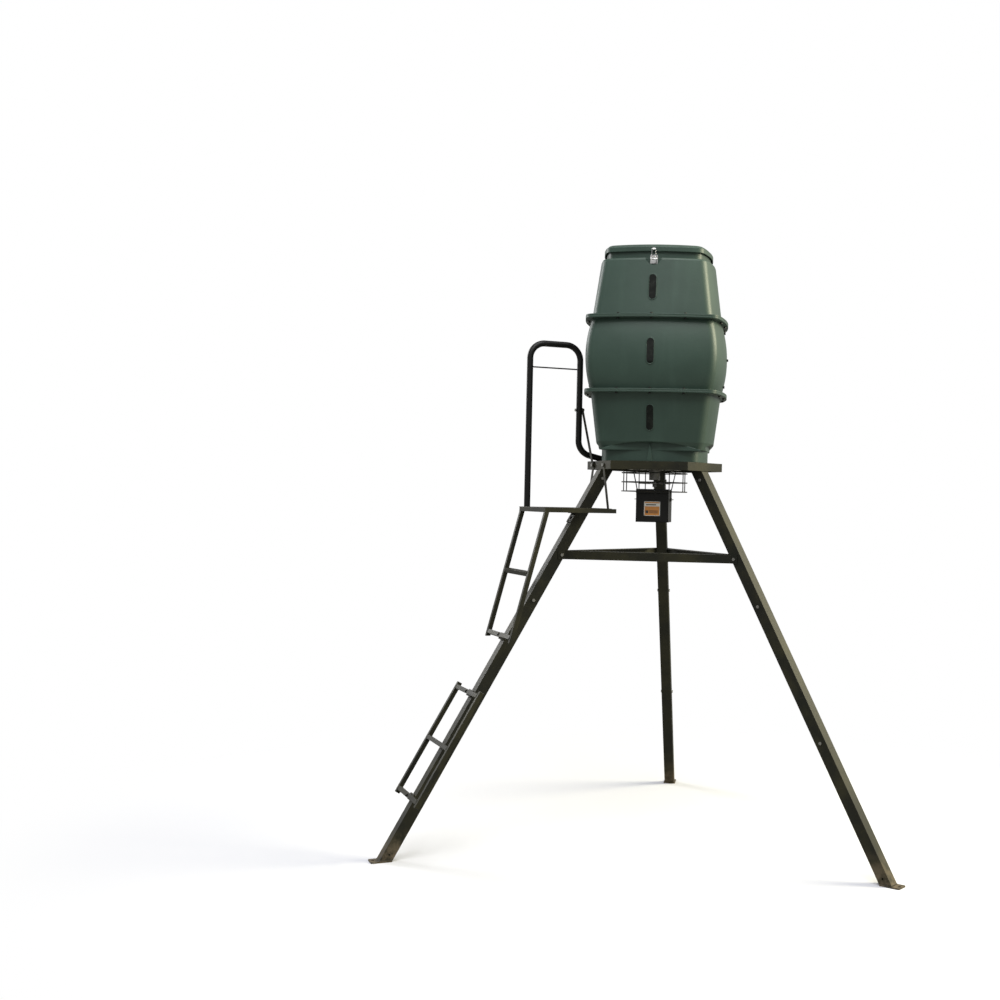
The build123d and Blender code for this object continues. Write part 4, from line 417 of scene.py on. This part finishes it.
def timer_face():
    """Timer: charcoal case, grey-green display and pale buttons."""
    made = moulded_black("timer_face", (0.030, 0.031, 0.034))
    low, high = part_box("timer")
    across, out, up = made.split(made.place)
    above = up - (low.z + (high.z - low.z) / 2 + DISPLAY_RISE)
    front = out < low.y + FACE_DEPTH
    display = front * (abs(across) < DISPLAY_HALF_WIDTH) * (abs(above) < DISPLAY_HALF_HEIGHT)
    digits = (made.cells(260.0, place=made.stretch((0.5, 1.0, 0.28))) < 0.22) * display
    buttons = (out < low.y + BUTTON_DEPTH) * (up < low.z + BUTTON_TOP)
    base = made.shader.inputs["Base Color"].links[0].from_socket
    face = made.mix(display, Field(made, base), DISPLAY)
    face = made.mix(digits * 0.8, face, DIGITS)
    made.set(**{"Base Color": made.mix(buttons, face, BUTTONS)})
    return made


def weld_metal(looks):
    """Weld bead under the bronze coat, mottled and a little glossier than the coat."""
    made = Finish("coated_weld")
    cloud = made.noise(60.0, 4.0, 0.6)
    made.set(**{"Base Color": made.mix(cloud.ramp(0.4, 0.7) * 0.5, looks.bronze, looks.sheen),
                "Roughness": 0.34 + cloud * 0.18})
    made.relief(made.noise(500.0, 3.0), distance=0.0002)
    return made


# ---- Modelled details -----------------------------------------------------------------------

PUDDLE = (0.95, 1.0, 0.62)      # a weld puddle along the run, across it and out, to the bead's width
DOME_RISE = 0.55                # a rivet's dome, to its radius
PLUG_FIT = 0.97                 # a plug's width, to the tube's
PLUG_ROUND = 0.35               # its rounded edges, to its height


def piece(name, sheet, body, smooth=True):
    """A finished mesh as an object that rides on a body."""
    bmesh.ops.recalc_face_normals(sheet, faces=sheet.faces)
    mesh = bpy.data.meshes.new(name)
    sheet.to_mesh(mesh)
    sheet.free()
    for face in mesh.polygons:
        face.use_smooth = smooth
    made = bpy.data.objects.new(name, mesh)
    bpy.context.scene.collection.objects.link(made)
    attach(made, body)
    return made


def lying_on(normal, along):
    """Turn whose Z is normal and whose X is along."""
    z = normal.normalized()
    x = (along - along.dot(z) * z).normalized()
    return Matrix((x, z.cross(x), z)).transposed().to_4x4()


def weld_bead(sheet, start, end, outward, looks):
    """Fillet weld from start to end: a chain of overlapping puddles, bulging outward."""
    run = end - start
    count = max(2, round(run.length / looks.ripple))
    turn = lying_on(outward, run)
    for step in range(count + 1):
        at = start + run * (step / count)
        made = bmesh.ops.create_icosphere(sheet, subdivisions=1, radius=looks.bead / 2)["verts"]
        bmesh.ops.scale(sheet, verts=made, vec=PUDDLE)
        bmesh.ops.transform(sheet, verts=made, matrix=Matrix.Translation(at) @ turn)


def leg_frame(azimuth):
    """Unit vectors of a leg: up its length, out from its upper face, and sideways."""
    up = polar(azimuth, -cos(LEG_SLOPE)) + Vector((0, 0, sin(LEG_SLOPE)))
    out = polar(azimuth, sin(LEG_SLOPE)) + Vector((0, 0, cos(LEG_SLOPE)))
    return up, out, out.cross(up)


def leg_axis(azimuth, height):
    """Point on a leg's axis at a height."""
    return polar(azimuth, FOOT_RADIUS - height / tan(LEG_SLOPE), 0.0, height)


def bar_ends(height, rung_half, rung):
    """Ends of a rung: (its face on the rail, along the rung, up the ladder, out from it)."""
    up, out, side = rung
    middle = leg_axis(LEG_AZIMUTH["left"], height - LADDER_PROUD * cos(LEG_SLOPE)) + out * LADDER_PROUD
    return [(middle + hand * side * rung_half, -hand * side, up, out) for hand in (-1, 1)]


def weld_round(sheet, face, along, one, two, half, looks):
    """Beads on the four sides of a square bar, which leaves a face in the direction along."""
    for across, outward in ((one, two), (one, -two), (two, one), (two, -one)):
        edge = face + outward * half
        weld_bead(sheet, edge - across * half, edge + across * half, outward + along, looks)


class FEEDER_OT_welds(bpy.types.Operator):
    """Weld beads on the rungs along the leg, the platform's corners and the foot plates"""
    bl_idname = "feeder.welds"
    bl_label = "Welds"

    def execute(self, context):
        looks = context.scene.feeder_detail
        sheet = bmesh.new()
        azimuth = LEG_AZIMUTH["left"]
        upright = Vector((0, 0, 1))
        for height in RUNG_HEIGHTS:
            for end in bar_ends(height, PLATFORM_HALF_WIDTH - BAR, leg_frame(azimuth)):
                weld_round(sheet, *end, BAR / 2, looks)
        half, toe = LEG_TUBE / 2, LEG_TUBE / 2 * FOOT_CUT
        for place in LEG_AZIMUTH.values():
            across = leg_frame(place)[2]
            foot = leg_axis(place, FOOT_WELD_HEIGHT)
            for hand in (-1, 1):
                start = foot + hand * across * half - polar(place, toe)
                weld_bead(sheet, start, start + polar(place, 2 * toe), hand * across + upright, looks)
            start = foot + polar(place, toe) - across * half
            weld_bead(sheet, start, start + across * 2 * half, polar(place, 1.0) + upright, looks)
        for hand in (-1, 1):
            corner = polar(azimuth, PLATFORM_OUTER - BAR, hand * (PLATFORM_HALF_WIDTH - BAR), PLATFORM_HEIGHT)
            mitre = polar(azimuth, 1.0) + polar(azimuth, 0.0, hand)
            for face in (-1, 1):
                start = corner + face * upright * BAR / 2
                weld_bead(sheet, start, start + mitre * BAR, face * upright, looks)
        made = piece("weld_beads", sheet, "stand")
        weld_metal(context.scene.feeder_steel).on(made)
        return {"FINISHED"}


class FEEDER_OT_rivets(bpy.types.Operator):
    """Domed rivets at the corners of the plate on the door"""
    bl_idname = "feeder.rivets"
    bl_label = "Plate rivets"

    def execute(self, context):
        looks = context.scene.feeder_detail
        low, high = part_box("label_plate")
        sheet = bmesh.new()
        for x in (low.x + looks.rivet, high.x - looks.rivet):
            for z in (low.z + looks.rivet, high.z - looks.rivet):
                dome = bmesh.ops.create_uvsphere(sheet, u_segments=16, v_segments=10,
                                                 radius=looks.rivet / 2)["verts"]
                bmesh.ops.scale(sheet, verts=dome, vec=(1.0, DOME_RISE, 1.0))
                bmesh.ops.translate(sheet, verts=dome, vec=(x, low.y, z))
        made = piece("plate_rivets", sheet, "box_door")
        bright_plate("rivet_aluminium", (0.62, 0.62, 0.61), roughness=0.3).on(made)
        return {"FINISHED"}


class FEEDER_OT_plugs(bpy.types.Operator):
    """Black plastic plugs in the open ends of the lower ladder's rails"""
    bl_idname = "feeder.plugs"
    bl_label = "Tube plugs"

    def execute(self, context):
        looks = context.scene.feeder_detail
        sheet = bmesh.new()
        up, out, side = leg_frame(LEG_AZIMUTH["left"])
        for height, way in zip(LOWER_RAIL_ENDS, (1, -1)):
            for face, *_ in bar_ends(height, PLATFORM_HALF_WIDTH - BAR / 2, (up, out, side)):
                end = face + way * up * (RAIL_TAIL + looks.plug / 2)
                turn = lying_on(way * up, side)
                others = set(sheet.verts)
                made = bmesh.ops.create_cube(sheet, size=1.0)["verts"]
                bmesh.ops.scale(sheet, verts=made, vec=(BAR * PLUG_FIT, BAR * PLUG_FIT, looks.plug))
                edges = list(dict.fromkeys(edge for vert in made for edge in vert.link_edges))
                bmesh.ops.bevel(sheet, geom=edges, offset=looks.plug * PLUG_ROUND, segments=2, profile=0.5,
                                affect="EDGES", material=-1)
                cap = [vert for vert in sheet.verts if vert not in others]
                bmesh.ops.transform(sheet, verts=cap, matrix=Matrix.Translation(end) @ turn)
        made = piece("tube_plugs", sheet, "stand", smooth=False)
        moulded_black("plug_plastic", (0.012, 0.012, 0.012)).on(made)
        return {"FINISHED"}


# ---- Operators ------------------------------------------------------------------------------

STAND_TUBES = ("leg_left", "leg_right", "leg_rear", "brace_front", "brace_left", "brace_right")


class FEEDER_OT_hopper(bpy.types.Operator):
    """Green plastic on the hopper's mouldings, and its windows painted with the shade of its dark inside"""
    bl_idname = "feeder.hopper"
    bl_label = "Hopper"

    def execute(self, context):
        looks = context.scene.feeder_hopper
        roto_moulded_green(looks).on("lid", "upper_tub", "middle_front", "middle_back", "lower_tub")
        smoked_window(looks).on("window_upper", "window_middle", "window_lower")
        return {"FINISHED"}


class FEEDER_OT_steelwork(bpy.types.Operator):
    """Powder coat on the stand, ladders, platform, rail, cage and box"""
    bl_idname = "feeder.steelwork"
    bl_label = "Steelwork"

    def execute(self, context):
        looks = context.scene.feeder_steel
        powder_coat("bronze_powder_coat", looks, looks.bronze, looks.sheen, flake=looks.flake).on(
            *(node for node in NODES if node.startswith(STAND_TUBES)),
            "top_frame", "platform_frame", "platform_deck", "platform_hangers", "platform_shelf",
            "upper_ladder", "lower_ladder", "ladder_brackets", "rail_strap")
        powder_coat("black_rail_coat", looks, looks.black, looks.bronze, wear=0.5, gloss=0.30).on("grab_rail")
        powder_coat("black_cage_coat", looks, looks.black, looks.sheen, wear=0.4, gloss=0.34).on(
            "varmint_cage")
        powder_coat("black_box_coat", looks, looks.black, looks.bronze, wear=0.8, gloss=0.36).on(
            "control_box", "box_door", "box_straps")
        return {"FINISHED"}


class FEEDER_OT_hardware(bpy.types.Operator):
    """Metal of the bolts, latch, hinges, outlet, spinner and motor; battery, timer and door plate"""
    bl_idname = "feeder.hardware"
    bl_label = "Hardware"

    def execute(self, context):
        looks = context.scene.feeder_hardware
        bright_plate("zinc_fastener", looks.zinc, roughness=0.36, spangle=0.35).on(
            "leg_bolts", "brace_bolts", "hanger_bolts", "strap_bolts", "wing_bolts", "spout_screws",
            "door_pin", "lid_hinge_pin")
        bright_plate("blackened_fastener", looks.blackened, roughness=0.42).on(
            "flange_bolts", "seam_bolts", "hopper_bolts", "cage_bolts", "ladder_bolts")
        bright_plate("galvanised_sheet", looks.zinc, roughness=0.40, spangle=0.6).on("spinner", "spout")
        bright_plate("chrome_latch", looks.chrome, roughness=0.10).on(
            "latch_base", "latch_lever", "latch_bail", "lid_keeper")
        bright_plate("plated_hinge", shaded(looks.zinc, 0.55), roughness=0.34).on(
            "lid_hinge_leaf", "tub_hinge_leaf")
        bright_plate("motor_can", looks.zinc, roughness=0.28).on("motor")
        moulded_black("battery_case", (0.016, 0.016, 0.018), roughness=0.30).on("battery")
        timer_face().on("timer")
        door_label(looks).on("label_plate")
        return {"FINISHED"}


# ---- Camera, lights and floor ---------------------------------------------------------------

CAMERA_PLACE = Vector((0.613, -6.233, 1.568))
CAMERA_HEADING = radians(5.62)     # left of the stand's own front
CAMERA_ROLL = radians(1.25)        # right side down
CAMERA_LENS = 48.46
CAMERA_SENSOR = 36.0
CAMERA_SHIFT = -0.154
CAMERA_REACH = 200.0

LAMPS = (                          # place and width; the power is a property of the same name
    ("key", (6.0, 1.0, 4.6), 3.4),
    ("overhead", (0.2, -3.2, 7.2), 4.5),
    ("rim", (-6.0, 3.0, 4.0), 2.6),
)
LAMP_AIM = Vector((0, 0, 1.4))
FLOOR_RADIUS = 60.0
FLOOR_FADE = (2.2, 9.0)            # squares of the distances between which it turns into the backdrop


class FEEDER_OT_stage(bpy.types.Operator):
    """Camera, soft studio lamps, and a white floor that keeps the shadow"""
    bl_idname = "feeder.stage"
    bl_label = "Stage"

    def execute(self, context):
        looks, scene = context.scene.feeder_stage, context.scene
        camera = bpy.data.objects.new("camera", bpy.data.cameras.new("camera"))
        camera.data.lens = CAMERA_LENS
        camera.data.sensor_width = CAMERA_SENSOR
        camera.data.shift_x = CAMERA_SHIFT
        camera.data.clip_end = CAMERA_REACH
        right = Vector((cos(CAMERA_HEADING), sin(CAMERA_HEADING), 0.0))
        ahead = Vector((-sin(CAMERA_HEADING), cos(CAMERA_HEADING), 0.0))
        rolled = right * cos(CAMERA_ROLL) + Vector((0, 0, 1)) * sin(CAMERA_ROLL)
        upward = Vector((0, 0, 1)) * cos(CAMERA_ROLL) - right * sin(CAMERA_ROLL)
        turn = Matrix((rolled, upward, -ahead)).transposed().to_4x4()
        camera.matrix_world = Matrix.Translation(CAMERA_PLACE) @ turn
        scene.collection.objects.link(camera)
        scene.camera = camera
        scene.view_settings.view_transform = "Standard"

        for name, place, width in LAMPS:
            lamp = bpy.data.objects.new(name, bpy.data.lights.new(name, "AREA"))
            lamp.data.energy = getattr(looks, name)
            lamp.data.size = width
            lamp.data.color = looks.warmth if name == "key" else (1.0, 1.0, 1.0)
            lamp.location = place
            lamp.rotation_euler = (Vector(place) - LAMP_AIM).to_track_quat("Z", "Y").to_euler()
            scene.collection.objects.link(lamp)

        world = scene.world or bpy.data.worlds.new("studio")
        scene.world = world
        world.use_nodes = True
        nodes, links = world.node_tree.nodes, world.node_tree.links
        nodes.clear()
        seen = nodes.new("ShaderNodeLightPath")
        even, white = nodes.new("ShaderNodeBackground"), nodes.new("ShaderNodeBackground")
        even.inputs["Color"].default_value = (1.0, 1.0, 1.0, 1.0)
        even.inputs["Strength"].default_value = looks.sky
        white.inputs["Color"].default_value = (*looks.backdrop, 1.0)
        either, output = nodes.new("ShaderNodeMixShader"), nodes.new("ShaderNodeOutputWorld")
        links.new(seen.outputs["Is Camera Ray"], either.inputs[0])
        links.new(even.outputs[0], either.inputs[1])
        links.new(white.outputs[0], either.inputs[2])
        links.new(either.outputs[0], output.inputs["Surface"])

        sheet = bmesh.new()
        bmesh.ops.create_circle(sheet, cap_ends=True, segments=96, radius=FLOOR_RADIUS)
        mesh = bpy.data.meshes.new("floor")
        sheet.to_mesh(mesh)
        sheet.free()
        floor = bpy.data.objects.new("floor", mesh)
        scene.collection.objects.link(floor)

        made = Finish("floor_sweep", Roughness=0.9)
        sight = made.node("ShaderNodeLightPath", {}, {}, "Is Camera Ray")
        made.set(**{"Base Color": made.mix(sight, looks.bounce, looks.floor), "Specular IOR Level": 0.0})
        along, aside, _ = made.split(made.place)
        far = (along * along + aside * aside).ramp(*FLOOR_FADE)
        glow = made.node("ShaderNodeEmission", {}, {"Color": looks.backdrop, "Strength": 1.0})
        blend = made.node("ShaderNodeMixShader", {}, {0: far * sight, 2: glow})
        made.tree.links.new(made.shader.outputs[0], blend.socket.node.inputs[1])
        made.tree.links.new(blend.socket, made.tree.nodes["Material Output"].inputs["Surface"])
        made.on(floor)
        return {"FINISHED"}


# ---- Add-on ---------------------------------------------------------------------------------

LOOKS = {"feeder_hopper": FeederHopperLooks, "feeder_steel": FeederSteelLooks,
         "feeder_hardware": FeederHardwareLooks, "feeder_detail": FeederDetailLooks,
         "feeder_stage": FeederStageLooks}
OPERATORS = (FEEDER_OT_hopper, FEEDER_OT_steelwork, FEEDER_OT_hardware, FEEDER_OT_welds, FEEDER_OT_plugs,
             FEEDER_OT_rivets, FEEDER_OT_stage)


class FEEDER_PT_sidebar(bpy.types.Panel):
    """Sizes, colours and steps of the feeder"""
    bl_idname = "FEEDER_PT_sidebar"
    bl_label = "Tripod Game Feeder"
    bl_space_type = "VIEW_3D"
    bl_region_type = "UI"
    bl_category = "Feeder"

    def draw(self, context):
        for key, group in LOOKS.items():
            column = self.layout.column(heading=key.removeprefix("feeder_").capitalize())
            for prop in group.__annotations__:
                column.prop(getattr(context.scene, key), prop)
        for operator in OPERATORS:
            self.layout.operator(operator.bl_idname)


CLASSES = (*LOOKS.values(), *OPERATORS, FEEDER_PT_sidebar)


def register():
    for item in CLASSES:
        bpy.utils.register_class(item)
    for key, group in LOOKS.items():
        setattr(bpy.types.Scene, key, PointerProperty(type=group))


def unregister():
    for key in LOOKS:
        delattr(bpy.types.Scene, key)
    for item in reversed(CLASSES):
        bpy.utils.unregister_class(item)


def main():
    register()
    bpy.ops.feeder.hopper()
    bpy.ops.feeder.steelwork()
    bpy.ops.feeder.hardware()
    bpy.ops.feeder.welds()
    bpy.ops.feeder.plugs()
    bpy.ops.feeder.rivets()
    bpy.ops.feeder.stage()


if __name__ == "__main__":
    main()
